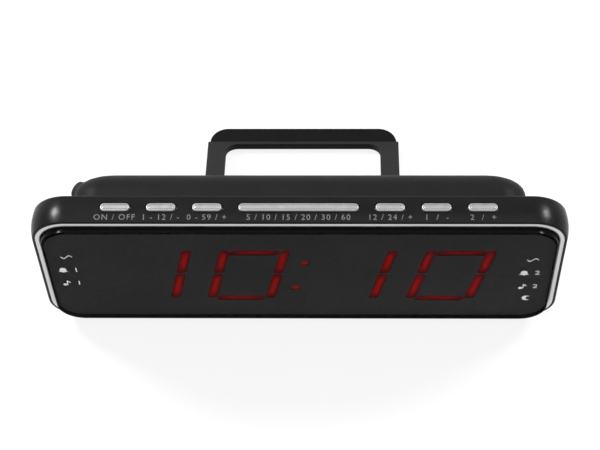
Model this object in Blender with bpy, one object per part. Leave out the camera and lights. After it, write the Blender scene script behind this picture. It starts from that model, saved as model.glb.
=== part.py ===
"""Clock radio: a leaning display slab with top buttons and a fold-out rear stand.

The slab frame has x to the right, y back from the lens face and z up the face, with its origin
at the bottom front edge of the lens. The slab leans back, and the part stands on z = 0.
"""
import math

import bmesh
import bpy
from mathutils import Matrix, Vector

MM = 0.001

# Fits and facets, in millimetres and counts
FIT = 0.3
BURY = 0.8
ARC_STEPS = 5
ROUND_STEPS = 16
FILLET_STEPS = 3
LEAN = math.radians(12.0)

# Display lens: a shallow cap that goes in from behind
LENS_WIDTH = 230.8
LENS_HEIGHT = 81.2
LENS_CORNER = 12.5
LENS_FACE = 2.6
LENS_EDGE = 0.6
LENS_SKIRT = 2.2
LENS_FLANGE = 1.4
LENS_PROUD = 3.4

# Trim ring round the lens
TRIM_WIDTH = 1.9
TRIM_DEPTH = 2.0
TRIM_EDGE = 0.5

# Front frame
RIM = 0.9
CROWN = 1.0
CROWN_STEPS = 6
FRAME_WALL = 1.4
FRAME_FRONT_EDGE = 0.6
FRAME_REAR_EDGE = 1.5
LEDGE = 2.0
BOSS_HALF = 3.0
BOSS_INSET = 5.5
BOSS_MARGIN = 14.0

# Buttons and the board under them
BUTTON_WIDTH = 13.0
SNOOZE_WIDTH = 52.8
BUTTON_DEPTH = 4.0
BUTTON_SPACE = 7.3
BUTTON_RISE = 0.9
BUTTON_EDGE = 0.4
BUTTON_TRAVEL = 0.8
BUTTON_EAR = 1.2
BUTTON_EAR_HEIGHT = 1.0
BUTTON_BACK_SPACE = 0.9
SWITCH_SIZE = 4.2
SWITCH_HEIGHT = 3.2
PLUNGER_RADIUS = 1.3
PLUNGER_HEIGHT = 1.6
BOARD = 1.6
KEY_BOARD_MARGIN = 15.0
KEY_POST = 5.0

# Display behind the lens
REFLECTOR = 4.8
REFLECTOR_SPACE = 4.0
REFLECTOR_LIFT = 10.8
REFLECTOR_SIDE = 10.6
DIGIT_HEIGHT = 45.0
DIGIT_WIDTH = 28.0
DIGIT_PITCH = 43.7
COLON_SPACE = 4.7
STROKE = 3.7
SEGMENT_GAP = 1.4
SLANT = math.tan(math.radians(10.0))
GUIDE = 1.0
GUIDE_RECESS = 0.4
GUIDE_MARGIN = 1.5
COLON_RADIUS = 1.9
COLON_RISE = 11.8

# Rear housing
FLANGE = 2.2
WALL = 2.2
BOX_WIDTH = 201.0
BOX_DROP = 2.8
BOX_LIFT = 11.4
BOX_CORNER = 12.0
BOX_SIDE_ROUND = 15.0
BOX_TOP_ROUND = 9.0
BOX_ROUND_STEPS = 5
REAR_TOP = 34.0
REAR_BOTTOM = 45.0

# Feet and fold-out stand
FOOT_LENGTH = 22.0
FOOT_DEPTH = 7.4
FOOT_DROP = 1.05
FOOT_POCKET = 0.7
FOOT_PLACE = 85.0
STAND_WIDTH = 93.5
STAND_LEG_WIDTH = 9.0
STAND_THICK = 3.6
STAND_LEG = 43.0
STAND_LIP = 7.3
STAND_BAR = 3.3
STAND_OUTER_CORNER = 11.0
STAND_INNER_CORNER = 6.0
STAND_EYE_RADIUS = 4.0
PIVOT_HEIGHT = 26.0
PIVOT_OFFSET = 7.5
PIN_RADIUS = 1.5
PIN_HEAD_RADIUS = 2.4
PIN_HEAD = 1.2
LUG_THICK = 3.4
LUG_FLARE = 2.0
PAD_RAISE = 0.6
PAD_POCKET = 0.6
PAD_DEPTH = 4.4
PAD_END = 10.0

# Battery bay
BAY_WIDTH = 26.0
BAY_HEIGHT = 46.5
BAY_DEPTH = 13.5
BAY_WALL = 1.6
BAY_PLACE = 68.5
DOOR_LAP = 2.0
CONTACT_WIDTH = 22.0
CONTACT_DEPTH = 9.0
CONTACT_THICK = 0.8

# Speaker
SPEAKER_RADIUS = 27.0
SPEAKER_RIM = 5.0
SPEAKER_RIM_THICK = 2.6
SPEAKER_DEPTH = 10.0
SPEAKER_BACK_RADIUS = 12.0
SPEAKER_SHEET = 1.2
MAGNET_RADIUS = 14.0
MAGNET_HEIGHT = 6.0
CONE_TRAVEL = 0.5
CONE_SHEET = 0.8
CONE_HEIGHT = 4.6
CONE_NECK_RADIUS = 6.0
SLOT_COUNT = 7
SLOT_PITCH = 5.4
SLOT_HEIGHT = 2.4
SLOT_REACH = 20.5

# Boards, transformer, aerial and cord gland
BOARD_SPACE = 4.6
MAIN_BOARD_LEFT = -46.0
MAIN_BOARD_SIDE = 2.3
MAIN_BOARD_LIFT = 3.8
MAIN_BOARD_DROP = 10.0
BOARD_POST_PLACE = 44.0
BOARD_POST_RADIUS = 2.8
BOARD_POST_MARGIN = 12.0
TUNER_WIDTH = 10.0
TUNER_HEIGHT = 24.0
TUNER_DEPTH = 8.0
CAPACITOR_RADIUS = 4.5
CAPACITOR_LENGTH = 13.0
CAPACITOR_PLACE = 35.5
CORE_WIDTH = 32.0
CORE_HEIGHT = 27.0
CORE_DEPTH = 13.0
CORE_LEG = 5.4
CORE_PLACE = -70.0
CORE_FRONT = 18.5
WINDING_OVERHANG = 4.5
BRACKET_SHEET = 0.8
BRACKET_DEPTH = 8.0
BRACKET_EAR = 7.5
BRACKET_LIFT = 4.0
ROD_RADIUS = 3.5
ROD_LENGTH = 90.0
ROD_DROP = 5.6
ROD_DEPTH = 22.5
ROD_RIB_PLACE = 30.0
ROD_RIB = 2.0
ROD_RIB_MARGIN = 1.5
COIL_LENGTH = 16.0
COIL_SHEET = 1.0
COIL_PLACE = -12.0
GLAND_TURN = math.radians(35.0)
GLAND_DROP = 17.0
GLAND_RADIUS = 5.0
GLAND_TIP_RADIUS = 3.9
GLAND_NECK_RADIUS = 3.5
GLAND_BORE_RADIUS = 2.4
GLAND_LENGTH = 6.0
GLAND_SEAT = 0.9
GLAND_INSIDE = 5.0

# Screws
SCREW_RADIUS = 1.2
SCREW_HEAD_RADIUS = 2.5
SCREW_HEAD = 1.5
SCREW_EDGE = 0.4
SCREW_BITE = 3.0

# Offsets from the lens outline and depths behind the lens face, outermost last
APERTURE = FIT
TRIM_OUT = FIT + TRIM_WIDTH
GROOVE = TRIM_OUT + FIT
RIM_OUT = GROOVE + RIM
WALL_IN = RIM_OUT - FRAME_WALL
FLANGE_OUT = WALL_IN - FIT
LEDGE_FRONT = LENS_PROUD + TRIM_DEPTH + FIT
LEDGE_BACK = LEDGE_FRONT + LEDGE
LENS_BACK = LEDGE_BACK + FIT + LENS_FLANGE
BUTTON_FRONT = LENS_BACK + FIT
BUTTON_BACK = BUTTON_FRONT + BUTTON_DEPTH
BUTTON_MIDDLE = BUTTON_FRONT + BUTTON_DEPTH / 2
FLANGE_FRONT = BUTTON_BACK + BUTTON_BACK_SPACE
FLANGE_BACK = FLANGE_FRONT + FLANGE
FRAME_BACK = FLANGE_BACK + FIT
FRAME_MIDDLE = (LENS_PROUD + FRAME_BACK) / 2
BOSS_X = LENS_WIDTH / 2 + WALL_IN - BOSS_INSET

# Heights up the face, from the top wall down to the display
TOP_WALL = LENS_HEIGHT + WALL_IN
EAR_TOP = TOP_WALL - FIT
BUTTON_LOW = EAR_TOP - BUTTON_EAR_HEIGHT
PLUNGER_TOP = BUTTON_LOW - BUTTON_TRAVEL - FIT
SWITCH_LOW = PLUNGER_TOP - PLUNGER_HEIGHT - SWITCH_HEIGHT
KEY_BOARD_TOP = SWITCH_LOW - FIT
KEY_BOARD_LOW = KEY_BOARD_TOP - BOARD
REFLECTOR_TOP = KEY_BOARD_LOW - REFLECTOR_SPACE
REFLECTOR_LOW = LENS_SKIRT + REFLECTOR_LIFT
DIGIT_MIDDLE = (REFLECTOR_TOP + REFLECTOR_LOW) / 2

# Depths of the display and the boards
REFLECTOR_FRONT = LENS_FACE + FIT
REFLECTOR_BACK = REFLECTOR_FRONT + REFLECTOR
REFLECTOR_HALF = LENS_WIDTH / 2 - LENS_SKIRT - REFLECTOR_SIDE
GUIDE_FRONT = REFLECTOR_BACK + FIT
GUIDE_BACK = GUIDE_FRONT + GUIDE
DISPLAY_BOARD_FRONT = GUIDE_BACK + FIT
DISPLAY_BOARD_BACK = DISPLAY_BOARD_FRONT + BOARD
MAIN_BOARD_FRONT = DISPLAY_BOARD_BACK + BOARD_SPACE
MAIN_BOARD_BACK = MAIN_BOARD_FRONT + BOARD

# Rear housing in the slab frame
BOX_HALF = BOX_WIDTH / 2
BOX_HIGH = LENS_HEIGHT + RIM_OUT - BOX_DROP
BOX_LOW = BOX_LIFT - RIM_OUT
BOX_INNER_HALF = BOX_HALF - WALL
BOX_INNER_HIGH = BOX_HIGH - WALL
BOX_INNER_LOW = BOX_LOW + WALL
BOX_MIDDLE = (BOX_HIGH + BOX_LOW) / 2
REAR_TILT = math.atan2(REAR_BOTTOM - REAR_TOP, BOX_HIGH - BOX_LOW)
MAIN_BOARD_LOW = BOX_INNER_LOW + MAIN_BOARD_LIFT
MAIN_BOARD_HIGH = BOX_INNER_HIGH - MAIN_BOARD_DROP
MAIN_BOARD_RIGHT = BOX_INNER_HALF - MAIN_BOARD_SIDE


def rear_depth(height):
    """Depth of the housing's sloping rear face at a height up the slab."""
    return REAR_TOP + (BOX_HIGH - height) * math.tan(REAR_TILT)


def frame_outer(depth):
    """Offset of the frame's crowned outside from the lens outline at a depth."""
    half = (FRAME_BACK - LENS_PROUD) / 2
    return RIM_OUT + CROWN * (1 - ((depth - FRAME_MIDDLE) / half) ** 2)


# The rear face frame has x right, y up the face and z inward from the wall's inner side
REAR_FRAME = Matrix.Translation((0, rear_depth(BOX_MIDDLE) - WALL, BOX_MIDDLE)) @ Matrix.Rotation(
    math.pi / 2 + REAR_TILT, 4, "X"
)
REAR_SKIN = WALL * math.cos(REAR_TILT)
PIVOT_FACE_Y = (PIVOT_HEIGHT - BOX_MIDDLE) / math.cos(REAR_TILT)
PIVOT = REAR_FRAME @ Vector((0, PIVOT_FACE_Y, -REAR_SKIN - PIVOT_OFFSET))


def frame_profile():
    """Section of the front frame as offset and depth, anticlockwise from the trim groove."""
    profile = [(GROOVE, LENS_PROUD)]
    base = frame_outer(LENS_PROUD + FRAME_FRONT_EDGE) - FRAME_FRONT_EDGE
    for step in range(FILLET_STEPS + 1):
        turn = math.pi / 2 * step / FILLET_STEPS
        profile.append((base + FRAME_FRONT_EDGE * math.sin(turn),
                        LENS_PROUD + FRAME_FRONT_EDGE * (1 - math.cos(turn))))
    first = LENS_PROUD + FRAME_FRONT_EDGE
    last = FRAME_BACK - FRAME_REAR_EDGE
    for step in range(1, CROWN_STEPS):
        depth = first + (last - first) * step / CROWN_STEPS
        profile.append((frame_outer(depth), depth))
    base = frame_outer(last) - FRAME_REAR_EDGE
    for step in range(FILLET_STEPS + 1):
        turn = math.pi / 2 * step / FILLET_STEPS
        profile.append((base + FRAME_REAR_EDGE * math.cos(turn), last + FRAME_REAR_EDGE * math.sin(turn)))
    profile += [(WALL_IN, FRAME_BACK), (WALL_IN, LEDGE_BACK), (APERTURE, LEDGE_BACK)]
    profile += [(APERTURE, LEDGE_FRONT), (GROOVE, LEDGE_FRONT)]
    return profile


# Height of the slab's origin over the table, and the stand's slope that brings its lip level
TABLE = FOOT_DROP + max(
    offset * math.cos(LEAN) + depth * math.sin(LEAN) for offset, depth in frame_profile()
)
PIVOT_OVER_TABLE = PIVOT.z * math.cos(LEAN) - PIVOT.y * math.sin(LEAN) + TABLE
STAND_SLOPE = math.asin((PIVOT_OVER_TABLE - PAD_RAISE - STAND_THICK / 2) / STAND_LEG)
PIVOT_BACK = PIVOT.y * math.cos(LEAN) + PIVOT.z * math.sin(LEAN)
STAND_REACH = PIVOT_BACK + STAND_LEG * math.cos(STAND_SLOPE) + STAND_LIP
SLAB_FRONT = LENS_EDGE * math.sin(LEAN)


# Outlines and rings, in millimetres
def rounded_rect(half, low, high, radius):
    """Points of a rectangle with round corners, anticlockwise from its right side."""
    points = []
    centres = ((half - radius, high - radius), (radius - half, high - radius),
               (radius - half, low + radius), (half - radius, low + radius))
    for corner, (x, y) in enumerate(centres):
        for step in range(ARC_STEPS + 1):
            turn = math.pi / 2 * (corner + step / ARC_STEPS)
            points.append((x + radius * math.cos(turn), y + radius * math.sin(turn)))
    return points


def lens_ring(offset, depth):
    """The lens outline moved out by an offset, at a depth."""
    outline = rounded_rect(LENS_WIDTH / 2 + offset, -offset, LENS_HEIGHT + offset, LENS_CORNER + offset)
    return [(x, depth, z) for x, z in outline]


def disc(centre, radius, axis):
    """A circle of points square to the x, y or z axis."""
    x, y, z = centre
    ring = []
    for step in range(ROUND_STEPS):
        turn = 2 * math.pi * step / ROUND_STEPS
        across = radius * math.cos(turn)
        up = radius * math.sin(turn)
        ring.append({"x": (x, y + across, z + up), "y": (x + across, y, z + up),
                     "z": (x + across, y + up, z)}[axis])
    return ring


def block(x, y, z):
    """A box between the given pairs of limits."""
    outline = ((x[0], y[0]), (x[1], y[0]), (x[1], y[1]), (x[0], y[1]))
    return [[(a, b, level) for a, b in outline] for level in z], False


def rod(centre, radius, axis, length):
    """A round bar from its first end's centre along an axis."""
    far = list(centre)
    far["xyz".index(axis)] += length
    return [disc(centre, radius, axis), disc(far, radius, axis)], False


def turned(profile, axis, centre=(0, 0, 0), closed=False):
    """A solid of revolution from radius and height pairs."""
    rings = []
    for radius, height in profile:
        place = list(centre)
        place["xyz".index(axis)] += height
        rings.append(disc(place, radius, axis))
    return rings, closed


def prism(outline, depths):
    """An outline in x and z run between depths."""
    return [[(x, depth, z) for x, z in outline] for depth in depths], False


def moved(solid, matrix):
    """The same solid in another frame."""
    rings, closed = solid
    return [[tuple(matrix @ Vector(point)) for point in ring] for ring in rings], closed


def mirrored(solid):
    """The same solid on the other side of the middle plane."""
    rings, closed = solid
    return [[(-x, y, z) for x, y, z in ring] for ring in rings], closed


# Objects
def add_empty(name, parent=None, location=(0, 0, 0), turn=0.0):
    """A frame to hang pieces on, turned about x."""
    empty = bpy.data.objects.new(name, None)
    bpy.context.scene.collection.objects.link(empty)
    empty.parent = parent
    empty.location = Vector(location) * MM
    empty.rotation_euler.x = turn
    return empty


def skin(mesh_builder, rings, closed):
    """Faces between a run of rings, joined end to end or capped."""
    loops = [[mesh_builder.verts.new(Vector(point) * MM) for point in ring] for ring in rings]
    pairs = list(zip(loops, loops[1:]))
    if closed:
        pairs.append((loops[-1], loops[0]))
    else:
        mesh_builder.faces.new(loops[0])
        mesh_builder.faces.new(loops[-1])
    for first, second in pairs:
        for index, vertex in enumerate(first):
            after = (index + 1) % len(first)
            mesh_builder.faces.new((vertex, first[after], second[after], second[index]))


def add_solids(name, solids, parent, location=(0, 0, 0)):
    """One object from one or more closed solids."""
    mesh_builder = bmesh.new()
    for rings, closed in solids:
        skin(mesh_builder, rings, closed)
    return add_mesh(name, mesh_builder, parent, location)


def add_mesh(name, mesh_builder, parent, location=(0, 0, 0)):
    """An object from a built mesh, with its faces turned out and its round sides smooth."""
    bmesh.ops.recalc_face_normals(mesh_builder, faces=mesh_builder.faces[:])
    mesh = bpy.data.meshes.new(name)
    mesh_builder.to_mesh(mesh)
    mesh_builder.free()
    mesh.shade_smooth()
    mesh.set_sharp_from_angle(angle=math.radians(35))
    piece = bpy.data.objects.new(name, mesh)
    bpy.context.scene.collection.objects.link(piece)
    piece.parent = parent
    piece.location = Vector(location) * MM
    return piece


def combine(piece, operation, solids):
    """Join solids to a piece, or cut them out of it."""
    name = f"{piece.name}_{operation.lower()}_{len(piece.modifiers)}"
    helper = add_solids(name, solids, piece.parent, piece.location / MM)
    helper.hide_render = True
    helper.display_type = "WIRE"
    change = piece.modifiers.new(operation.lower(), "BOOLEAN")
    change.operation = operation
    change.object = helper


def finish(piece, colour, roughness, metallic=0.0):
    """Give a piece its own material."""
    material = bpy.data.materials.new(f"{piece.name}_finish")
    material.use_nodes = True
    shader = material.node_tree.nodes["Principled BSDF"]
    shader.inputs["Base Color"].default_value = (*colour, 1.0)
    shader.inputs["Roughness"].default_value = roughness
    shader.inputs["Metallic"].default_value = metallic
    material.diffuse_color = (*colour, 1.0)
    piece.data.materials.append(material)


BLACK = (0.022, 0.022, 0.024)
SMOKED = (0.012, 0.012, 0.014)
SILVER = (0.62, 0.62, 0.64)
STEEL = (0.45, 0.45, 0.46)
RUBBER = (0.015, 0.015, 0.015)
BOARD_GREEN = (0.02, 0.09, 0.04)
LED_RED = (0.45, 0.02, 0.02)
COPPER = (0.5, 0.2, 0.09)
FERRITE = (0.05, 0.05, 0.055)
PAPER = (0.04, 0.04, 0.04)


# Front cabinet
def button_row():
    """Name, middle and width of each button from left to right."""
    first = SNOOZE_WIDTH / 2 + BUTTON_SPACE + BUTTON_WIDTH / 2
    pitch = BUTTON_WIDTH + BUTTON_SPACE
    left = ("power_button", "hour_button", "minute_button")
    right = ("time_set_button", "alarm_1_button", "alarm_2_button")
    row = [(name, -first - pitch * (2 - place), BUTTON_WIDTH) for place, name in enumerate(left)]
    row.append(("snooze_button", 0.0, SNOOZE_WIDTH))
    row += [(name, first + pitch * place, BUTTON_WIDTH) for place, name in enumerate(right)]
    return row


def button_outline(width, margin):
    """Stadium outline of a button or its hole about the button's middle."""
    half_depth = BUTTON_DEPTH / 2 + margin
    return rounded_rect(width / 2 + margin, -half_depth, half_depth, half_depth - 0.01 * half_depth)


def boss_places():
    """Where the four case screws go, as x and height."""
    heights = (BOSS_MARGIN, LENS_HEIGHT - BOSS_MARGIN)
    return [(side * BOSS_X, height) for side in (-1, 1) for height in heights]


def foot_limits(side, margin):
    """Limits of a foot along x and in depth, grown by a margin."""
    half = FOOT_LENGTH / 2 + margin
    middle = side * FOOT_PLACE
    depth_low = FRAME_MIDDLE + BURY - FOOT_DEPTH / 2 - margin
    return (middle - half, middle + half), (depth_low, depth_low + FOOT_DEPTH + 2 * margin)


FOOT_CEILING = -(RIM_OUT + CROWN - FOOT_POCKET)
KEY_BOARD_HALF = SNOOZE_WIDTH / 2 + 3 * (BUTTON_SPACE + BUTTON_WIDTH) + KEY_BOARD_MARGIN / 2
KEY_POST_X = KEY_BOARD_HALF - KEY_POST / 2 - FIT


def make_front_frame(slab):
    frame = add_solids(
        "front_frame", [([lens_ring(*point) for point in frame_profile()], True)], slab
    )
    wall_root = LENS_WIDTH / 2 + WALL_IN + BURY
    bosses = []
    for x, height in boss_places():
        limits = sorted((math.copysign(wall_root, x), x - math.copysign(BOSS_HALF, x)))
        bosses.append(block(limits, (LENS_BACK + FIT, FLANGE_FRONT - FIT),
                            (height - BOSS_HALF, height + BOSS_HALF)))
    for side in (-1, 1):
        middle = side * KEY_POST_X
        bosses.append(block((middle - KEY_POST / 2, middle + KEY_POST / 2),
                            (BUTTON_FRONT, BUTTON_BACK), (KEY_BOARD_TOP + FIT, TOP_WALL + BURY)))
    combine(frame, "UNION", bosses)
    cuts = []
    for _, middle, width in button_row():
        outline = button_outline(width, FIT)
        cuts.append(([[(middle + x, BUTTON_MIDDLE + y, level) for x, y in outline]
                      for level in (TOP_WALL - FIT, LENS_HEIGHT + RIM_OUT + 2 * CROWN)], False))
    for x, height in boss_places():
        cuts.append(rod((x, LENS_BACK, height), SCREW_RADIUS + FIT, "y", FRAME_BACK - LENS_BACK))
    for side in (-1, 1):
        across, deep = foot_limits(side, FIT)
        cuts.append(block(across, deep, (-RIM_OUT - 2 * CROWN, FOOT_CEILING)))
    combine(frame, "DIFFERENCE", cuts)
    finish(frame, BLACK, 0.45)


def make_lens_and_trim(slab):
    outside = [(-LENS_EDGE, 0), (-LENS_EDGE / 3, LENS_EDGE / 3), (0, LENS_EDGE)]
    flange = [(0, LEDGE_BACK + FIT), (FLANGE_OUT, LEDGE_BACK + FIT), (FLANGE_OUT, LENS_BACK)]
    inside = [(-LENS_SKIRT, LENS_BACK), (-LENS_SKIRT, LENS_FACE)]
    lens = add_solids(
        "display_lens", [([lens_ring(*point) for point in outside + flange + inside], False)], slab
    )
    finish(lens, SMOKED, 0.08)
    back = LENS_PROUD + TRIM_DEPTH
    section = [(APERTURE, back), (APERTURE, LENS_PROUD + TRIM_EDGE), (APERTURE + TRIM_EDGE, LENS_PROUD),
               (TRIM_OUT - TRIM_EDGE, LENS_PROUD), (TRIM_OUT, LENS_PROUD + TRIM_EDGE), (TRIM_OUT, back)]
    trim = add_solids("trim_ring", [([lens_ring(*point) for point in section], True)], slab)
    finish(trim, SILVER, 0.25, 1.0)


def make_buttons(slab):
    top = LENS_HEIGHT + frame_outer(BUTTON_MIDDLE) + BUTTON_RISE
    for name, middle, width in button_row():
        levels = ((BUTTON_LOW, 0), (top - BUTTON_EDGE, 0), (top, -BUTTON_EDGE))
        rings = [[(x, y, level - top) for x, y in button_outline(width, margin)] for level, margin in levels]
        button = add_solids(name, [(rings, False)], slab, (middle, BUTTON_MIDDLE, top))
        half = width / 2 + BUTTON_EAR
        deep = BUTTON_DEPTH / 2 - FIT
        combine(button, "UNION", [block((-half, half), (-deep, deep), (BUTTON_LOW - top, EAR_TOP - top))])
        finish(button, SILVER, 0.3, 0.6)


def make_key_board(slab):
    board = add_solids(
        "key_board",
        [block((-KEY_BOARD_HALF, KEY_BOARD_HALF), (BUTTON_FRONT, FLANGE_FRONT - FIT),
               (KEY_BOARD_LOW, KEY_BOARD_TOP))],
        slab,
    )
    finish(board, BOARD_GREEN, 0.5)
    half = SWITCH_SIZE / 2
    for number, (_, middle, _) in enumerate(button_row(), 1):
        outline = ((-half, -half), (half, -half), (half, half), (-half, half))
        body = [[(x, y, level) for x, y in outline] for level in (0, SWITCH_HEIGHT)]
        switch = add_solids(f"key_switch_{number}", [(body, False)], slab, (middle, BUTTON_MIDDLE, SWITCH_LOW))
        plunger = rod((0, 0, SWITCH_HEIGHT / 2), PLUNGER_RADIUS, "z", SWITCH_HEIGHT / 2 + PLUNGER_HEIGHT)
        combine(switch, "UNION", [plunger])
        finish(switch, PAPER, 0.5)


# Display
def segment_outlines(margin):
    """The seven bars of an upright digit about its middle, each grown by a margin."""
    half = STROKE / 2 + margin
    reach_x = (DIGIT_WIDTH - STROKE) / 2
    reach_z = (DIGIT_HEIGHT - STROKE) / 2
    end = SEGMENT_GAP / 2 - margin
    outlines = []
    for height in (reach_z, 0, -reach_z):
        tip = reach_x - end
        outlines.append([(-tip, height), (half - tip, height - half), (tip - half, height - half),
                         (tip, height), (tip - half, height + half), (half - tip, height + half)])
    for x in (-reach_x, reach_x):
        for middle in (-reach_z / 2, reach_z / 2):
            tip = reach_z / 2 - end
            outlines.append([(x, middle - tip), (x + half, middle - tip + half), (x + half, middle + tip - half),
                             (x, middle + tip), (x - half, middle + tip - half), (x - half, middle - tip + half)])
    return outlines


def slanted(outline, middle):
    """An outline leant over like the digits and put at its place on the face."""
    return [(middle + x + SLANT * z, DIGIT_MIDDLE + z) for x, z in outline]


def digit_middles():
    """Where the four digits stand, from left to right."""
    inner = (DIGIT_PITCH + COLON_SPACE) / 2
    return (-inner - DIGIT_PITCH, -inner, inner, inner + DIGIT_PITCH)


def colon_dots(radius):
    """Outlines of the colon's two dots."""
    dots = []
    for rise in (-COLON_RISE, COLON_RISE):
        turns = [2 * math.pi * step / ROUND_STEPS for step in range(ROUND_STEPS)]
        dots.append([(SLANT * rise + radius * math.cos(turn), DIGIT_MIDDLE + rise + radius * math.sin(turn))
                     for turn in turns])
    return dots


def make_display(slab):
    reflector = add_solids(
        "display_reflector",
        [block((-REFLECTOR_HALF, REFLECTOR_HALF), (REFLECTOR_FRONT, REFLECTOR_BACK),
               (REFLECTOR_LOW, REFLECTOR_TOP))],
        slab,
    )
    through = (REFLECTOR_FRONT - FIT, REFLECTOR_BACK + FIT)
    windows = [slanted(bar, middle) for middle in digit_middles() for bar in segment_outlines(FIT)]
    combine(reflector, "DIFFERENCE", [prism(bar, through) for bar in windows + colon_dots(COLON_RADIUS + FIT)])
    finish(reflector, PAPER, 0.6)
    lit = (REFLECTOR_FRONT + GUIDE_RECESS, GUIDE_FRONT + GUIDE / 2)
    half = DIGIT_WIDTH / 2 + GUIDE_MARGIN
    tall = DIGIT_HEIGHT / 2 + GUIDE_MARGIN
    plate = ((-half, -tall), (half, -tall), (half, tall), (-half, tall))
    for number, middle in enumerate(digit_middles(), 1):
        digit = add_solids(f"digit_{number}", [prism(slanted(plate, middle), (GUIDE_FRONT, GUIDE_BACK))], slab)
        bars = [prism(slanted(bar, middle), lit) for bar in segment_outlines(0)]
        combine(digit, "UNION", bars)
        finish(digit, LED_RED, 0.4)
    half = COLON_RADIUS + GUIDE_MARGIN
    tall = COLON_RISE + half
    plate = ((-half, -tall), (half, -tall), (half, tall), (-half, tall))
    colon = add_solids("colon_guide", [prism(slanted(plate, 0), (GUIDE_FRONT, GUIDE_BACK))], slab)
    combine(colon, "UNION", [prism(dot, lit) for dot in colon_dots(COLON_RADIUS)])
    finish(colon, LED_RED, 0.4)
    board = add_solids(
        "display_board",
        [block((-REFLECTOR_HALF, REFLECTOR_HALF), (DISPLAY_BOARD_FRONT, DISPLAY_BOARD_BACK),
               (REFLECTOR_LOW, REFLECTOR_TOP))],
        slab,
    )
    finish(board, BOARD_GREEN, 0.5)


# Rear housing
def box_rings(wall):
    """Rings of the rounded rear of the box, from its sides to its rear face, set in by a wall."""
    rings = []
    for step in range(BOX_ROUND_STEPS + 1):
        turn = math.pi / 2 * step / BOX_ROUND_STEPS
        inset = 1 - math.cos(turn)
        outline = rounded_rect(
            BOX_HALF - wall - BOX_SIDE_ROUND * inset,
            BOX_LOW + wall + BOX_TOP_ROUND * inset,
            BOX_HIGH - wall - BOX_TOP_ROUND * inset,
            BOX_CORNER - wall,
        )
        ring = []
        for index, (x, z) in enumerate(outline):
            corner, place = divmod(index, ARC_STEPS + 1)
            facing = math.pi / 2 * (corner + place / ARC_STEPS)
            reach = math.hypot(BOX_SIDE_ROUND * math.cos(facing), BOX_TOP_ROUND * math.sin(facing))
            ring.append((x, rear_depth(z) - wall - reach * (1 - math.sin(turn)), z))
        rings.append(ring)
    return rings


def box_base(wall, depth):
    """The box's outline at a depth near its front, set in by a wall."""
    outline = rounded_rect(BOX_HALF - wall, BOX_LOW + wall, BOX_HIGH - wall, BOX_CORNER - wall)
    return [(x, depth, z) for x, z in outline]


def bay_block(half_x, half_y, depth_low, depth_high):
    """A box on the rear face round the battery bay's middle."""
    limits = (BAY_PLACE - half_x, BAY_PLACE + half_x), (-half_y, half_y), (depth_low, depth_high)
    return moved(block(*limits), REAR_FRAME)


def lug(start, stop):
    """A hinge lug with a round end about the stand's pivot."""
    base = STAND_EYE_RADIUS + LUG_FLARE
    root = -REAR_SKIN / 2
    reach = -REAR_SKIN - PIVOT_OFFSET
    outline = [(PIVOT_FACE_Y + base, root), (PIVOT_FACE_Y - base, root)]
    for step in range(ROUND_STEPS // 2 + 1):
        turn = math.pi + math.pi * step / (ROUND_STEPS // 2)
        outline.append((PIVOT_FACE_Y + STAND_EYE_RADIUS * math.cos(turn),
                        reach + STAND_EYE_RADIUS * math.sin(turn)))
    return moved(([[(x, y, z) for y, z in outline] for x in (start, stop)], False), REAR_FRAME)


LEG_OUT = STAND_WIDTH / 2
LEG_IN = LEG_OUT - STAND_LEG_WIDTH
PIN_START = LEG_IN - FIT - LUG_THICK
PIN_LENGTH = STAND_LEG_WIDTH + 2 * FIT + 2 * LUG_THICK


def lugs():
    """The two pairs of lugs that carry the stand's pins."""
    right = [lug(PIN_START, LEG_IN - FIT), lug(LEG_OUT + FIT, LEG_OUT + FIT + LUG_THICK)]
    return right + [mirrored(one) for one in right]


def board_posts():
    """Where the main board's posts stand, as x and height."""
    heights = (MAIN_BOARD_LOW + BOARD_POST_MARGIN, MAIN_BOARD_HIGH - BOARD_POST_MARGIN)
    return [(side * BOARD_POST_PLACE, height) for side in (-1, 1) for height in heights]


def bracket_screws():
    """Where the transformer's two screws stand along x."""
    reach = CORE_WIDTH / 2 + FIT + BRACKET_SHEET + BRACKET_EAR / 2
    return (CORE_PLACE - reach, CORE_PLACE + reach)


ROD_HEIGHT = BOX_INNER_HIGH - ROD_DROP
CORE_LOW = BOX_INNER_LOW + FIT
CORE_MIDDLE_DEPTH = CORE_FRONT + CORE_DEPTH / 2
BRACKET_SEAT = BOX_INNER_LOW + BRACKET_LIFT
GLAND_HEIGHT = BOX_HIGH - GLAND_DROP
GLAND_PLACE = (
    -BOX_HALF + BOX_SIDE_ROUND * (1 - math.cos(GLAND_TURN)),
    rear_depth(GLAND_HEIGHT) - BOX_SIDE_ROUND * (1 - math.sin(GLAND_TURN)),
    GLAND_HEIGHT,
)
GLAND_FRAME = Matrix.Translation(GLAND_PLACE) @ Matrix.Rotation(math.pi - GLAND_TURN, 4, "Z")


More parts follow.
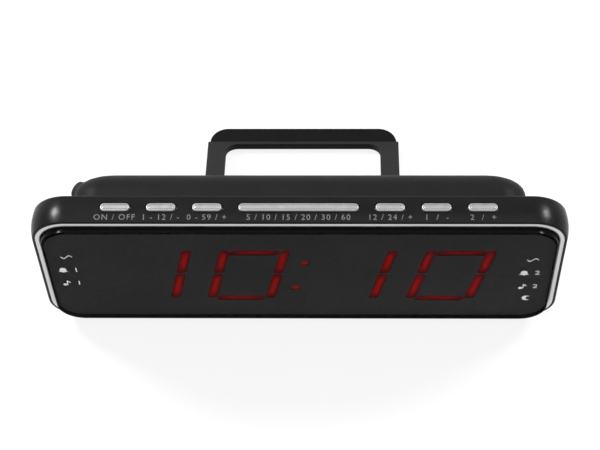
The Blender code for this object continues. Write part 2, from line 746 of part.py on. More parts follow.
def housing_additions():
    """Lugs, battery bay, posts, ribs and bosses of the rear housing."""
    bay_half_x = BAY_WIDTH / 2 + DOOR_LAP + BAY_WALL
    bay_half_y = BAY_HEIGHT / 2 + DOOR_LAP + BAY_WALL
    additions = lugs()
    additions.append(bay_block(bay_half_x, bay_half_y, -REAR_SKIN / 2, BAY_DEPTH + BAY_WALL))
    for x, height in board_posts():
        start = MAIN_BOARD_BACK + FIT
        additions.append(rod((x, start, height), BOARD_POST_RADIUS, "y",
                             rear_depth(height) - WALL / 2 - start))
    half = ROD_RADIUS + ROD_RIB_MARGIN
    for side in (-1, 1):
        x = side * ROD_RIB_PLACE
        additions.append(block((x - ROD_RIB / 2, x + ROD_RIB / 2), (ROD_DEPTH - half, ROD_DEPTH + half),
                               (ROD_HEIGHT - half, BOX_INNER_HIGH + BURY)))
    for x in bracket_screws():
        additions.append(rod((x, CORE_MIDDLE_DEPTH, BOX_INNER_LOW - BURY), SCREW_HEAD_RADIUS + FIT, "z",
                             BRACKET_LIFT + BURY - FIT))
    return additions


def housing_cuts():
    """Door opening, speaker slots and every hole of the rear housing."""
    lap = DOOR_LAP + FIT
    cuts = [
        bay_block(BAY_WIDTH / 2 + lap, BAY_HEIGHT / 2 + lap, -REAR_SKIN - FIT, 0),
        rod((-ROD_LENGTH / 2, ROD_DEPTH, ROD_HEIGHT), ROD_RADIUS + FIT, "x", ROD_LENGTH),
        moved(rod((-WALL - GLAND_INSIDE, 0, 0), GLAND_NECK_RADIUS + FIT, "x", 2 * (WALL + GLAND_INSIDE)),
              GLAND_FRAME),
    ]
    for number in range(SLOT_COUNT):
        y = SLOT_PITCH * (number - (SLOT_COUNT - 1) / 2)
        half = math.sqrt(SLOT_REACH ** 2 - y ** 2)
        limits = (-half, half), (y - SLOT_HEIGHT / 2, y + SLOT_HEIGHT / 2), (-2 * REAR_SKIN, REAR_SKIN)
        cuts.append(moved(block(*limits), REAR_FRAME))
    for x, height in boss_places():
        cuts.append(rod((x, FLANGE_FRONT - FIT, height), SCREW_RADIUS + FIT, "y", FLANGE + 2 * FIT))
    for x, height in board_posts():
        cuts.append(rod((x, MAIN_BOARD_BACK, height), SCREW_RADIUS + FIT, "y", SCREW_BITE + 2 * FIT))
    for x in bracket_screws():
        cuts.append(rod((x, CORE_MIDDLE_DEPTH, BRACKET_SEAT - SCREW_BITE - FIT), SCREW_RADIUS + FIT, "z",
                        SCREW_BITE + FIT))
    hole = rod((PIN_START - FIT, PIVOT.y, PIVOT.z), PIN_RADIUS + FIT, "x", PIN_LENGTH + 2 * FIT)
    return cuts + [hole, mirrored(hole)]


def make_rear_housing(slab):
    inside = box_rings(WALL)[::-1] + [box_base(WALL, FLANGE_FRONT)]
    flange = [lens_ring(FLANGE_OUT, FLANGE_FRONT), lens_ring(FLANGE_OUT, FLANGE_BACK)]
    outside = [box_base(0, FLANGE_BACK)] + box_rings(0)
    housing = add_solids("rear_housing", [(inside + flange + outside, False)], slab)
    combine(housing, "UNION", housing_additions())
    combine(housing, "DIFFERENCE", [bay_block(BAY_WIDTH / 2, BAY_HEIGHT / 2, -REAR_SKIN / 2, BAY_DEPTH)])
    combine(housing, "DIFFERENCE", housing_cuts())
    finish(housing, BLACK, 0.5)


def make_battery_bay(slab):
    rear_face = add_empty("rear_face", slab, REAR_FRAME.translation, math.pi / 2 + REAR_TILT)
    half_x = BAY_WIDTH / 2 + DOOR_LAP
    half_y = BAY_HEIGHT / 2 + DOOR_LAP
    door = add_solids(
        "battery_door", [block((-half_x, half_x), (-half_y, half_y), (-REAR_SKIN, -FIT))], rear_face,
        (BAY_PLACE, 0, 0),
    )
    finish(door, BLACK, 0.5)
    half = CONTACT_WIDTH / 2
    deep = (BAY_DEPTH - FIT - CONTACT_DEPTH, BAY_DEPTH - FIT)
    for name, side in (("battery_contact_bottom", -1), ("battery_contact_top", 1)):
        wall = BAY_HEIGHT / 2 - FIT
        limits = sorted((side * wall, side * (wall - CONTACT_THICK)))
        contact = add_solids(
            name, [block((BAY_PLACE - half, BAY_PLACE + half), limits, deep)], rear_face
        )
        finish(contact, STEEL, 0.3, 1.0)
    return rear_face


def make_speaker(rear_face):
    rim_in = SPEAKER_RADIUS - SPEAKER_RIM
    back = FIT + SPEAKER_DEPTH
    basket = add_solids(
        "speaker_basket",
        [turned([(rim_in, FIT), (SPEAKER_RADIUS, FIT), (SPEAKER_RADIUS, FIT + SPEAKER_RIM_THICK),
                 (rim_in + SPEAKER_SHEET, FIT + SPEAKER_RIM_THICK),
                 (SPEAKER_BACK_RADIUS + SPEAKER_SHEET, back), (SPEAKER_BACK_RADIUS - SPEAKER_RIM, back),
                 (SPEAKER_BACK_RADIUS - SPEAKER_RIM, back - SPEAKER_SHEET),
                 (SPEAKER_BACK_RADIUS, back - SPEAKER_SHEET), (rim_in, FIT + SPEAKER_RIM_THICK)],
                "z", closed=True)],
        rear_face,
    )
    finish(basket, STEEL, 0.4, 1.0)
    base = back + FIT
    magnet = add_solids(
        "speaker_magnet",
        [turned([(MAGNET_RADIUS - SCREW_EDGE, base), (MAGNET_RADIUS, base + SCREW_EDGE),
                 (MAGNET_RADIUS, base + MAGNET_HEIGHT - SCREW_EDGE),
                 (MAGNET_RADIUS - SCREW_EDGE, base + MAGNET_HEIGHT)], "z")],
        rear_face,
    )
    finish(magnet, FERRITE, 0.6)
    edge = rim_in - 2 * FIT
    low = FIT + CONE_TRAVEL + FIT
    neck = CONE_NECK_RADIUS
    cone = add_solids(
        "speaker_cone",
        [turned([(edge, 0), (edge, CONE_SHEET), (edge - SPEAKER_RIM, CONE_SHEET), (neck, CONE_HEIGHT),
                 (0.5 * neck, CONE_HEIGHT), (0.5 * neck, CONE_HEIGHT - CONE_SHEET),
                 (neck, CONE_HEIGHT - CONE_SHEET), (edge - SPEAKER_RIM, 0)], "z", closed=True)],
        rear_face, (0, 0, low),
    )
    finish(cone, PAPER, 0.8)


def make_gland(slab):
    gland = add_empty("gland_axis", slab, GLAND_PLACE)
    gland.rotation_euler.z = math.pi - GLAND_TURN
    seat = GLAND_SEAT
    section = [(GLAND_BORE_RADIUS, -GLAND_INSIDE), (GLAND_NECK_RADIUS, -GLAND_INSIDE),
               (GLAND_NECK_RADIUS, seat), (GLAND_RADIUS, seat), (GLAND_RADIUS, seat + GLAND_SEAT),
               (GLAND_TIP_RADIUS, seat + GLAND_LENGTH - SCREW_EDGE),
               (GLAND_TIP_RADIUS - SCREW_EDGE, seat + GLAND_LENGTH), (GLAND_BORE_RADIUS, seat + GLAND_LENGTH)]
    piece = add_solids("cord_gland", [turned(section, "x", closed=True)], gland)
    finish(piece, RUBBER, 0.7)


# Boards and parts inside
def make_main_board(slab):
    board = add_solids(
        "main_board",
        [block((MAIN_BOARD_LEFT, MAIN_BOARD_RIGHT), (MAIN_BOARD_FRONT, MAIN_BOARD_BACK),
               (MAIN_BOARD_LOW, MAIN_BOARD_HIGH))],
        slab,
    )
    holes = [rod((x, MAIN_BOARD_FRONT - FIT, height), SCREW_RADIUS + FIT, "y", BOARD + 2 * FIT)
             for x, height in board_posts()]
    combine(board, "DIFFERENCE", holes)
    finish(board, BOARD_GREEN, 0.5)
    start = MAIN_BOARD_BACK + FIT
    right = MAIN_BOARD_RIGHT - FIT
    middle = BOX_MIDDLE
    tuner = add_solids(
        "tuner_can",
        [block((right - TUNER_WIDTH, right), (start, start + TUNER_DEPTH),
               (middle - TUNER_HEIGHT / 2, middle + TUNER_HEIGHT / 2))],
        slab,
    )
    finish(tuner, STEEL, 0.35, 1.0)
    capacitor = add_solids(
        "filter_capacitor",
        [turned([(CAPACITOR_RADIUS, 0), (CAPACITOR_RADIUS, CAPACITOR_LENGTH - SCREW_EDGE),
                 (CAPACITOR_RADIUS - SCREW_EDGE, CAPACITOR_LENGTH)], "y",
                (CAPACITOR_PLACE, start, middle))],
        slab,
    )
    finish(capacitor, BLACK, 0.4)


def make_transformer(slab):
    half = CORE_WIDTH / 2
    deep = (CORE_FRONT, CORE_FRONT + CORE_DEPTH)
    window = half - CORE_LEG
    window_low = CORE_LOW + CORE_LEG
    window_high = CORE_LOW + CORE_HEIGHT - CORE_LEG
    core = add_solids(
        "transformer_core",
        [block((CORE_PLACE - half, CORE_PLACE + half), deep, (CORE_LOW, CORE_LOW + CORE_HEIGHT))], slab
    )
    openings = []
    for side in (-1, 1):
        limits = sorted((CORE_PLACE + side * CORE_LEG, CORE_PLACE + side * window))
        openings.append(block(limits, (deep[0] - FIT, deep[1] + FIT), (window_low, window_high)))
    combine(core, "DIFFERENCE", openings)
    finish(core, STEEL, 0.5, 1.0)
    levels = (window_low + FIT, window_high - FIT)
    hole = CORE_LEG + FIT
    outside = window - FIT
    section = [(hole, CORE_DEPTH / 2 + FIT), (outside, CORE_DEPTH / 2 + WINDING_OVERHANG)]
    rings = []
    for reach, level in zip((0, 1, 1, 0), (levels[0], levels[0], levels[1], levels[1])):
        x, y = section[reach]
        rings.append([(CORE_PLACE + a * x, CORE_MIDDLE_DEPTH + b * y, level)
                      for a, b in ((-1, -1), (1, -1), (1, 1), (-1, 1))])
    winding = add_solids("transformer_winding", [(rings, True)], slab)
    finish(winding, COPPER, 0.5)
    make_bracket(slab)


def make_bracket(slab):
    inner = CORE_WIDTH / 2 + FIT
    outer = inner + BRACKET_SHEET
    ear = outer + BRACKET_EAR
    top = CORE_LOW + CORE_HEIGHT + FIT
    low = BRACKET_SEAT
    high = low + BRACKET_SHEET
    right = [(inner, top), (inner, low), (ear, low), (ear, high), (outer, high), (outer, top + BRACKET_SHEET)]
    outline = [(CORE_PLACE + x, z) for x, z in right]
    outline += [(CORE_PLACE - x, z) for x, z in reversed(right)]
    depths = (CORE_MIDDLE_DEPTH - BRACKET_DEPTH / 2, CORE_MIDDLE_DEPTH + BRACKET_DEPTH / 2)
    bracket = add_solids("transformer_bracket", [prism(outline, depths)], slab)
    holes = [rod((x, CORE_MIDDLE_DEPTH, low - FIT), SCREW_RADIUS + FIT, "z", BRACKET_SHEET + 2 * FIT)
             for x in bracket_screws()]
    combine(bracket, "DIFFERENCE", holes)
    finish(bracket, STEEL, 0.4, 1.0)


def make_aerial(slab):
    bar = add_solids("ferrite_rod", [rod((-ROD_LENGTH / 2, ROD_DEPTH, ROD_HEIGHT), ROD_RADIUS, "x", ROD_LENGTH)],
                     slab)
    finish(bar, FERRITE, 0.6)
    inner = ROD_RADIUS + FIT
    outer = inner + COIL_SHEET
    section = [(inner, 0), (outer, 0), (outer, COIL_LENGTH), (inner, COIL_LENGTH)]
    coil = add_solids("antenna_coil", [turned(section, "x", (COIL_PLACE, ROD_DEPTH, ROD_HEIGHT), True)], slab)
    finish(coil, COPPER, 0.5)


def make_screws(slab):
    """Pan-head screws, each modelled head up at its seat and turned to its axis."""
    reach = SCREW_HEAD_RADIUS - SCREW_EDGE
    places = [(f"case_screw_{number}", (x, FLANGE_BACK + FIT, height), FLANGE + FIT + SCREW_BITE, -math.pi / 2)
              for number, (x, height) in enumerate(boss_places(), 1)]
    for number, (x, height) in enumerate(board_posts()[::3], 1):
        places.append((f"board_screw_{number}", (x, MAIN_BOARD_FRONT - FIT, height),
                       BOARD + FIT + SCREW_BITE, math.pi / 2))
    for number, x in enumerate(bracket_screws(), 1):
        places.append((f"transformer_screw_{number}",
                       (x, CORE_MIDDLE_DEPTH, BRACKET_SEAT + BRACKET_SHEET + FIT),
                       BRACKET_SHEET + SCREW_BITE, 0.0))
    for name, place, shank, turn in places:
        section = [(SCREW_RADIUS, -shank), (SCREW_RADIUS, 0), (SCREW_HEAD_RADIUS, 0),
                   (SCREW_HEAD_RADIUS, SCREW_HEAD - SCREW_EDGE), (reach, SCREW_HEAD)]
        screw = add_solids(name, [turned(section, "z")], slab, place)
        screw.rotation_euler.x = turn
        finish(screw, STEEL, 0.35, 1.0)


# Feet and stand
def make_feet(slab):
    for name, side in (("foot_left", -1), ("foot_right", 1)):
        across, deep = foot_limits(side, 0)
        top = FOOT_CEILING - FIT
        ends = []
        for x in across:
            lower = [(depth, (depth * math.sin(LEAN) - TABLE) / math.cos(LEAN)) for depth in deep]
            ends.append([(x, deep[0], top), (x, *lower[0]), (x, *lower[1]), (x, deep[1], top)])
        foot = add_solids(name, [(ends, False)], slab)
        finish(foot, RUBBER, 0.8)


def stand_outline():
    """Flat U of the stand in x and reach, from the left leg's end round the lip to the right one."""
    far = STAND_LEG + STAND_LIP
    bar = STAND_LEG - STAND_BAR
    outer = rounded_rect(LEG_OUT, -far, far, STAND_OUTER_CORNER)[:2 * (ARC_STEPS + 1)]
    inner = rounded_rect(LEG_IN, -bar, bar, STAND_INNER_CORNER)[:2 * (ARC_STEPS + 1)]
    return [(LEG_OUT, 0), *outer, (-LEG_OUT, 0), (-LEG_IN, 0), *reversed(inner), (LEG_IN, 0)]


def bend_lip(vertex):
    """Turn what lies past the bend up by the stand's slope, with a mitre on the bend line."""
    past = vertex.co.y / MM - STAND_LEG
    height = vertex.co.z
    if abs(past) < FIT / 10:
        vertex.co.y -= height * math.tan(STAND_SLOPE / 2)
    elif past > 0:
        vertex.co.y = STAND_LEG * MM + past * MM * math.cos(STAND_SLOPE) - height * math.sin(STAND_SLOPE)
        vertex.co.z = past * MM * math.sin(STAND_SLOPE) + height * math.cos(STAND_SLOPE)


def make_stand(slab):
    pivot = add_empty("stand_pivot", slab, PIVOT, LEAN - STAND_SLOPE)
    mesh_builder = bmesh.new()
    corners = [mesh_builder.verts.new((x * MM, y * MM, -STAND_THICK / 2 * MM)) for x, y in stand_outline()]
    mesh_builder.faces.new(corners)
    bmesh.ops.bisect_plane(
        mesh_builder, geom=mesh_builder.verts[:] + mesh_builder.edges[:] + mesh_builder.faces[:],
        plane_co=(0, STAND_LEG * MM, 0), plane_no=(0, 1, 0), dist=0.01 * MM,
    )
    grown = bmesh.ops.extrude_face_region(mesh_builder, geom=mesh_builder.faces[:])
    raised = [item for item in grown["geom"] if isinstance(item, bmesh.types.BMVert)]
    bmesh.ops.translate(mesh_builder, verts=raised, vec=(0, 0, STAND_THICK * MM))
    for vertex in mesh_builder.verts:
        bend_lip(vertex)
    stand = add_mesh("stand", mesh_builder, pivot)
    eye = rod((LEG_IN, 0, 0), STAND_EYE_RADIUS, "x", STAND_LEG_WIDTH)
    combine(stand, "UNION", [eye, mirrored(eye)])
    hole = rod((LEG_IN - FIT, 0, 0), PIN_RADIUS + FIT, "x", STAND_LEG_WIDTH + 2 * FIT)
    lip = Matrix.Translation((0, STAND_LEG, 0)) @ Matrix.Rotation(STAND_SLOPE, 4, "X")
    half = LEG_OUT - PAD_END
    near = (STAND_LIP - PAD_DEPTH) / 2
    under = -STAND_THICK / 2
    pocket = block((-half - FIT, half + FIT), (near - FIT, near + PAD_DEPTH + FIT),
                   (under - PAD_RAISE, under + PAD_POCKET))
    combine(stand, "DIFFERENCE", [hole, mirrored(hole), moved(pocket, lip)])
    finish(stand, BLACK, 0.5)
    pad = block((-half, half), (near, near + PAD_DEPTH), (under - PAD_RAISE, under + PAD_POCKET - FIT))
    pad = add_solids("stand_foot_pad", [moved(pad, lip)], pivot)
    finish(pad, RUBBER, 0.8)
    section = [(PIN_RADIUS, 0), (PIN_RADIUS, PIN_LENGTH + FIT), (PIN_HEAD_RADIUS, PIN_LENGTH + FIT),
               (PIN_HEAD_RADIUS, PIN_LENGTH + FIT + PIN_HEAD)]
    right = turned(section, "x", (PIN_START, PIVOT.y, PIVOT.z))
    for name, solid in (("stand_pin_left", mirrored(right)), ("stand_pin_right", right)):
        pin = add_solids(name, [solid], slab)
        finish(pin, STEEL, 0.3, 1.0)


def main():
    for old in list(bpy.data.objects):
        bpy.data.objects.remove(old)
    slab = add_empty("slab", None, (0, -(SLAB_FRONT + STAND_REACH) / 2, TABLE), -LEAN)
    make_front_frame(slab)
    make_lens_and_trim(slab)
    make_buttons(slab)
    make_key_board(slab)
    make_display(slab)
    make_rear_housing(slab)
    rear_face = make_battery_bay(slab)
    make_speaker(rear_face)
    make_gland(slab)
    make_main_board(slab)
    make_transformer(slab)
    make_aerial(slab)
    make_screws(slab)
    make_feet(slab)
    make_stand(slab)


main()
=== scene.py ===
"""Clock radio: the finished surfaces of a leaning display slab with top buttons and a rear stand.

The slab frame has x to the right, y back from the lens face and z up the face. Pieces are drawn
there in millimetres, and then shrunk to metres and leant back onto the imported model.
"""
import math
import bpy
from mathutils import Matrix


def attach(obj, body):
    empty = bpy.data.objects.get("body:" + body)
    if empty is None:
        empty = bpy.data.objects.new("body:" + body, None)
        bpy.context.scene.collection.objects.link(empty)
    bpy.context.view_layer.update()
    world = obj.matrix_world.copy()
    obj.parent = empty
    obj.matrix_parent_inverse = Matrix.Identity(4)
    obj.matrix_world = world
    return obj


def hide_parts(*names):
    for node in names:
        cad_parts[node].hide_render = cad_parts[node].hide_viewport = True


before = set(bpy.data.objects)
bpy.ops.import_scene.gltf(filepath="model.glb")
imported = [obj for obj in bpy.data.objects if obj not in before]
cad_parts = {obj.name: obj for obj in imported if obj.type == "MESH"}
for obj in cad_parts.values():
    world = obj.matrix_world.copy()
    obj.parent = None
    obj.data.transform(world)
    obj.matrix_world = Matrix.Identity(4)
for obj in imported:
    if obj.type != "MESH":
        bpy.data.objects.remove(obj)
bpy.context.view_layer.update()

from types import SimpleNamespace

import bpy
from mathutils import Matrix, Vector

bl_info = {
    "name": "Clock radio",
    "version": (1, 0, 0),
    "blender": (4, 5, 0),
    "location": "View3D > Sidebar > Clock radio",
    "description": "Builds the visible pieces of a clock radio round its packed model",
    "category": "Object",
}

MM = 0.001

# Lean of the slab, and where its lens foot stands
LEAN = math.radians(12.0)
SLAB_FOOT = Vector((0.0, -49.308, 8.001)) * MM
SLAB = Matrix.Translation(SLAB_FOOT) @ Matrix.Rotation(-LEAN, 4, "X") @ Matrix.Scale(MM, 4)

# Limits of the tests on edges and faces, and of merging, smoothing and dissolving
SLACK = 0.02
LOOKING = 0.99
MERGE = 0.002
SMOOTH_ANGLE = 32.0
NORMAL_WEIGHT = 80
FLAT_ANGLE = math.radians(0.5)

# Depths behind the lens face and offsets outside the lens outline, in millimetres
FIT = 0.3
END_FLAT = 0.1
TRIM_FRONT = 3.4
TRIM_BACK = 5.4
LEDGE_FRONT = 5.7
LEDGE_BACK = 7.7
LENS_FLANGE_FRONT = 8.0
LENS_FLANGE_BACK = 9.4
FRAME_BACK = 17.65
GROOVE = 2.5
RIM_OUT = 3.4
WALL_IN = 2.0
FLANGE_OUT = 1.7
CORNER_STEPS = 14


def linear(code):
    """A hex colour in sRGB as linear red, green and blue."""
    channels = [int(code[place:place + 2], 16) / 255 for place in (1, 3, 5)]
    return [c / 12.92 if c <= 0.04045 else ((c + 0.055) / 1.055) ** 2.4 for c in channels]


def length(name, millimetres, description):
    """A size that can be changed, given in millimetres."""
    return bpy.props.FloatProperty(
        name=name, description=description, default=millimetres * MM, min=0.0, precision=5, unit="LENGTH"
    )


def colour(name, code, description):
    """A colour that can be changed, given as a hex value."""
    return bpy.props.FloatVectorProperty(
        name=name, description=description, default=linear(code), size=3, min=0.0, max=1.0, subtype="COLOR"
    )


class RadioSizes(bpy.types.PropertyGroup):
    """Sizes of the visible pieces."""

    lens_width: length("Lens width", 230.8, "Width of the display lens")
    lens_height: length("Lens height", 81.2, "Height of the display lens up its face")
    lens_corner: length("Lens corner", 12.5, "Corner radius of the lens outline")
    lens_edge: length("Lens edge", 0.8, "Rounding of the lens's front edge")
    lens_face: length("Lens face", 2.6, "Thickness of the lens's face")
    lens_skirt: length("Lens skirt", 0.5, "Thickness of the lens's side walls")
    frame_crown: length("Frame crown", 1.0, "How far the frame's outside swells")
    frame_front_edge: length("Frame front edge", 0.6, "Rounding of the frame's front edge")
    frame_rear_edge: length("Frame rear edge", 1.5, "Rounding of the frame's rear edge")
    button_width: length("Button width", 13.0, "Width of a small button")
    snooze_width: length("Snooze width", 52.8, "Width of the long middle button")
    button_space: length("Button space", 7.3, "Gap between two buttons")
    button_edge: length("Button edge", 0.5, "Rounding of a button's top edge")
    legend_height: length("Legend height", 2.7, "Height of the printed marks below the buttons")
    digit_height: length("Digit height", 47.1, "Height of a display digit")
    digit_width: length("Digit width", 31.7, "Width of a display digit")
    digit_pitch: length("Digit pitch", 44.35, "Distance between the middles of two digits of a pair")
    colon_space: length("Colon space", 3.75, "Room added between the pairs for the colon")
    stroke: length("Bar width", 4.5, "Width of a digit's bars")
    bar_gap: length("Bar gap", 0.7, "Dark gap between two bars")


class RadioColours(bpy.types.PropertyGroup):
    """Colours of the finishes."""

    cabinet: colour("Cabinet", "#0c0c0d", "Moulded cabinet plastic")
    lens: colour("Lens", "#747374", "Light that the smoked lens lets through")
    trim: colour("Trim", "#c4c5c7", "Plated trim ring")
    button: colour("Button", "#838384", "Silver button paint")
    legend: colour("Legend", "#5c5c5e", "Printed marks on the cabinet")
    film: colour("Lens film", "#dadada", "Diffuser film behind the lens")
    lens_mark: colour("Lens mark", "#d8d8d8", "Printed marks on the lens")
    lit: colour("Lit bar", "#ff1010", "Shining display bars")
    unlit: colour("Unlit bar", "#180808", "Dark display bars")
    # The stand's legs are the cabinet's black ABS, painted lighter as a painted light where they tilt
    # towards the lamps behind
    stand: colour("Stand", "#191919", "Moulded legs of the stand")
    # The lip is the same ABS, painted darker than the legs as a painted shade for a level surface that
    # turns less towards the lamps behind
    lip: colour("Stand lip", "#080808", "Ribbed lip of the stand")


def sizes_in_mm():
    """The sizes that can be changed, in millimetres."""
    group = bpy.context.scene.radio_sizes
    return SimpleNamespace(**{name: getattr(group, name) / MM for name in RadioSizes.__annotations__})


# Selecting and shaping by operators
def close_mesh():
    bpy.ops.object.mode_set(mode="OBJECT")


def clear_selection():
    """Leaves edit mode with nothing selected."""
    if bpy.context.object and bpy.context.object.mode != "OBJECT":
        close_mesh()
    bpy.ops.object.select_all(action="DESELECT")


def take(piece):
    """Makes a piece the only selected one and the active one."""
    clear_selection()
    piece.select_set(True)
    bpy.context.view_layer.objects.active = piece


def open_mesh(piece, kind, action):
    """Opens a piece for editing, with all or none of its elements selected."""
    take(piece)
    bpy.ops.object.mode_set(mode="EDIT")
    bpy.ops.mesh.select_mode(type=kind)
    bpy.ops.mesh.select_all(action=action)


def pick_edges(piece, test):
    """Opens a piece with the edges selected whose two ends pass a test."""
    open_mesh(piece, "EDGE", "DESELECT")
    close_mesh()
    points = piece.data.vertices
    for edge in piece.data.edges:
        edge.select = test(*(points[index].co for index in edge.vertices))
    bpy.ops.object.mode_set(mode="EDIT")


def pick_faces(piece, test):
    """Opens a piece with the faces selected whose centre and normal pass a test."""
    open_mesh(piece, "FACE", "DESELECT")
    close_mesh()
    for face in piece.data.polygons:
        face.select = test(face.center, face.normal)
    bpy.ops.object.mode_set(mode="EDIT")


def near(a, b, slack=SLACK):
    return abs(a - b) < slack


def along(axis):
    """A test for edges that run along one axis."""
    def test(a, b):
        return all(near(a[other], b[other]) for other in range(3) if other != axis)
    return test


def at_level(axis, level):
    """A test for edges that lie at one level of an axis."""
    def test(a, b):
        return near(a[axis], level) and near(b[axis], level)
    return test


def looking(axis, sign=1):
    """A test for faces that look along one axis."""
    def test(centre, normal):
        return sign * normal[axis] > LOOKING
    return test


def extrude(move):
    """Extrudes what is selected by a distance in millimetres."""
    bpy.ops.mesh.extrude_region_move(TRANSFORM_OT_translate={"value": move})


def bevel_picked(width, steps):
    """Rounds the selected edges by a width in millimetres."""
    bpy.ops.mesh.bevel(offset=width, offset_type="OFFSET", segments=steps, profile=0.5, affect="EDGES")
    close_mesh()


def name_new(name):
    """Names the object that an operator has just made, and its mesh."""
    piece = bpy.context.object
    piece.name = piece.data.name = name
    return piece


def apply_transform():
    bpy.ops.object.transform_apply(location=True, rotation=True, scale=True)


def add_block(name, low, high):
    """A box between two corners of the slab frame, in millimetres."""
    clear_selection()
    low, high = Vector(low), Vector(high)
    bpy.ops.mesh.primitive_cube_add(size=1, location=(low + high) / 2, scale=high - low)
    apply_transform()
    return name_new(name)


def add_rounded_block(name, low, high, axis, corner, steps):
    """A box whose edges along one axis are rounded."""
    piece = add_block(name, low, high)
    pick_edges(piece, along(axis))
    bevel_picked(corner, steps)
    return piece


def apply_modifier(piece, kind, **settings):
    """Adds a modifier, sets it and applies it."""
    take(piece)
    bpy.ops.object.modifier_add(type=kind)
    modifier = piece.modifiers[-1]
    for setting, value in settings.items():
        setattr(modifier, setting, value)
    bpy.ops.object.modifier_apply(modifier=modifier.name)


def combine(piece, other, operation):
    """Cuts another solid out of a piece, or joins it on, and removes the other."""
    apply_modifier(piece, "BOOLEAN", object=other, operation=operation, solver="EXACT")
    bpy.data.objects.remove(other)


def clean_mesh(piece):
    """Merges doubles and turns the faces outwards."""
    open_mesh(piece, "VERT", "SELECT")
    bpy.ops.mesh.remove_doubles(threshold=MERGE)
    bpy.ops.mesh.normals_make_consistent(inside=False)
    close_mesh()


def join_pieces(pieces, name):
    """Joins pieces into one object, which keeps each one's materials."""
    take(pieces[0])
    for piece in pieces[1:]:
        piece.select_set(True)
    bpy.ops.object.join()
    return name_new(name)


def copy_piece(piece, name, move):
    """A copy of a piece with its own mesh, moved by a distance in millimetres."""
    copy = piece.copy()
    copy.data = piece.data.copy()
    copy.name = copy.data.name = name
    copy.data.transform(Matrix.Translation(move))
    bpy.context.scene.collection.objects.link(copy)
    return copy


def draw_section(name, points):
    """A closed outline of points in millimetres, drawn by extruding one vertex along it."""
    clear_selection()
    bpy.ops.mesh.primitive_plane_add(size=1)
    piece = name_new(name)
    open_mesh(piece, "VERT", "SELECT")
    bpy.ops.mesh.merge(type="CENTER")
    points = [Vector(point) for point in points]
    bpy.ops.transform.translate(value=points[0])
    for before, after in zip(points, points[1:] + points[:1]):
        extrude(after - before)
    bpy.ops.mesh.select_all(action="SELECT")
    bpy.ops.mesh.remove_doubles(threshold=MERGE)
    return piece


def draw_plate(name, points, move):
    """A plate: a closed outline that is filled and extruded through its thickness."""
    plate = draw_section(name, points)
    bpy.ops.mesh.edge_face_add()
    extrude(move)
    close_mesh()
    clean_mesh(plate)
    return plate


def sweep_round_lens(name, section, sizes):
    """Sweeps a section of offsets and depths round the lens outline, with a spin at each corner."""
    corner = sizes.lens_corner
    run = sizes.lens_width / 2 - corner
    rise = sizes.lens_height - corner
    piece = draw_section(name, [(-run, depth, -offset) for offset, depth in section])
    stages = (
        ((2 * run, 0, 0), (run, 0, corner)),
        ((0, 0, rise - corner), (run, 0, rise)),
        ((-2 * run, 0, 0), (-run, 0, rise)),
        ((0, 0, corner - rise), (-run, 0, corner)),
    )
    for move, centre in stages:
        extrude(move)
        bpy.ops.mesh.spin(
            steps=CORNER_STEPS, angle=math.pi / 2, center=centre, axis=(0, 1, 0), use_auto_merge=False
        )
    close_mesh()
    clean_mesh(piece)
    return piece


def arc(centre, radius, start, stop, steps):
    """Points of an arc in two coordinates, with angles in degrees."""
    turns = [math.radians(start + (stop - start) * step / steps) for step in range(steps + 1)]
    return [(centre[0] + radius * math.cos(turn), centre[1] + radius * math.sin(turn)) for turn in turns]


def apply_matrix(piece, matrix):
    """Places a piece by a matrix, which becomes part of its mesh."""
    take(piece)
    piece.matrix_world = matrix
    apply_transform()


def settle(piece, angle=SMOOTH_ANGLE):
    """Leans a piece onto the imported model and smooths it, with flat faces left flat."""
    apply_matrix(piece, SLAB)
    bpy.ops.object.shade_smooth_by_angle(angle=math.radians(angle))
    apply_modifier(piece, "WEIGHTED_NORMAL", keep_sharp=True, weight=NORMAL_WEIGHT)


def hand_over(piece, body, slot, *nodes):
    """Lets a finished piece ride on its body and stand for its nodes."""
    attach(piece, body)
    if nodes:
        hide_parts(*nodes)


def dress(piece, *materials):
    """Gives a piece its materials."""
    piece.data.materials.clear()
    for material in materials:
        piece.data.materials.append(material)


def complete(piece, material, body, slot, *nodes, angle=SMOOTH_ANGLE):
    """Settles a piece, gives it a finish by name and hands it over."""
    settle(piece, angle)
    dress(piece, finish(material))
    hand_over(piece, body, slot, *nodes)


def copy_node(node, name):
    """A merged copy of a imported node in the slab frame, to be finished as a new piece."""
    piece = bpy.data.objects.new(name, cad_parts[node].data.copy())
    piece.data.name = name
    piece.data.transform(SLAB.inverted())
    bpy.context.scene.collection.objects.link(piece)
    open_mesh(piece, "VERT", "SELECT")
    bpy.ops.mesh.remove_doubles(threshold=MERGE)
    bpy.ops.mesh.dissolve_limited(angle_limit=FLAT_ANGLE)
    close_mesh()
    return piece


# Materials
NOISE_LOW = 0.3
NOISE_HIGH = 0.7
GRAIN_DETAIL = 3.0
RIDGE_WANDER = 0.6
GLOW_LAYER = "glow"
GLOW = 1.1
GLOW_EDGE = 0.2
GLOW_FADE = 2.0
GUIDE_BODY = 0.3

# Values that several finishes share, in the order of the table below
MATT_ABS = ({"IOR": 1.5, "Specular IOR Level": 0.09}, 0.7, 0.02, 9.0, 0.10, (0.50, 0.60))
PRINTED = ({"Specular IOR Level": 0.2}, 0.3, 0.004, 1.2, 0.12, (0.5, 0.65))

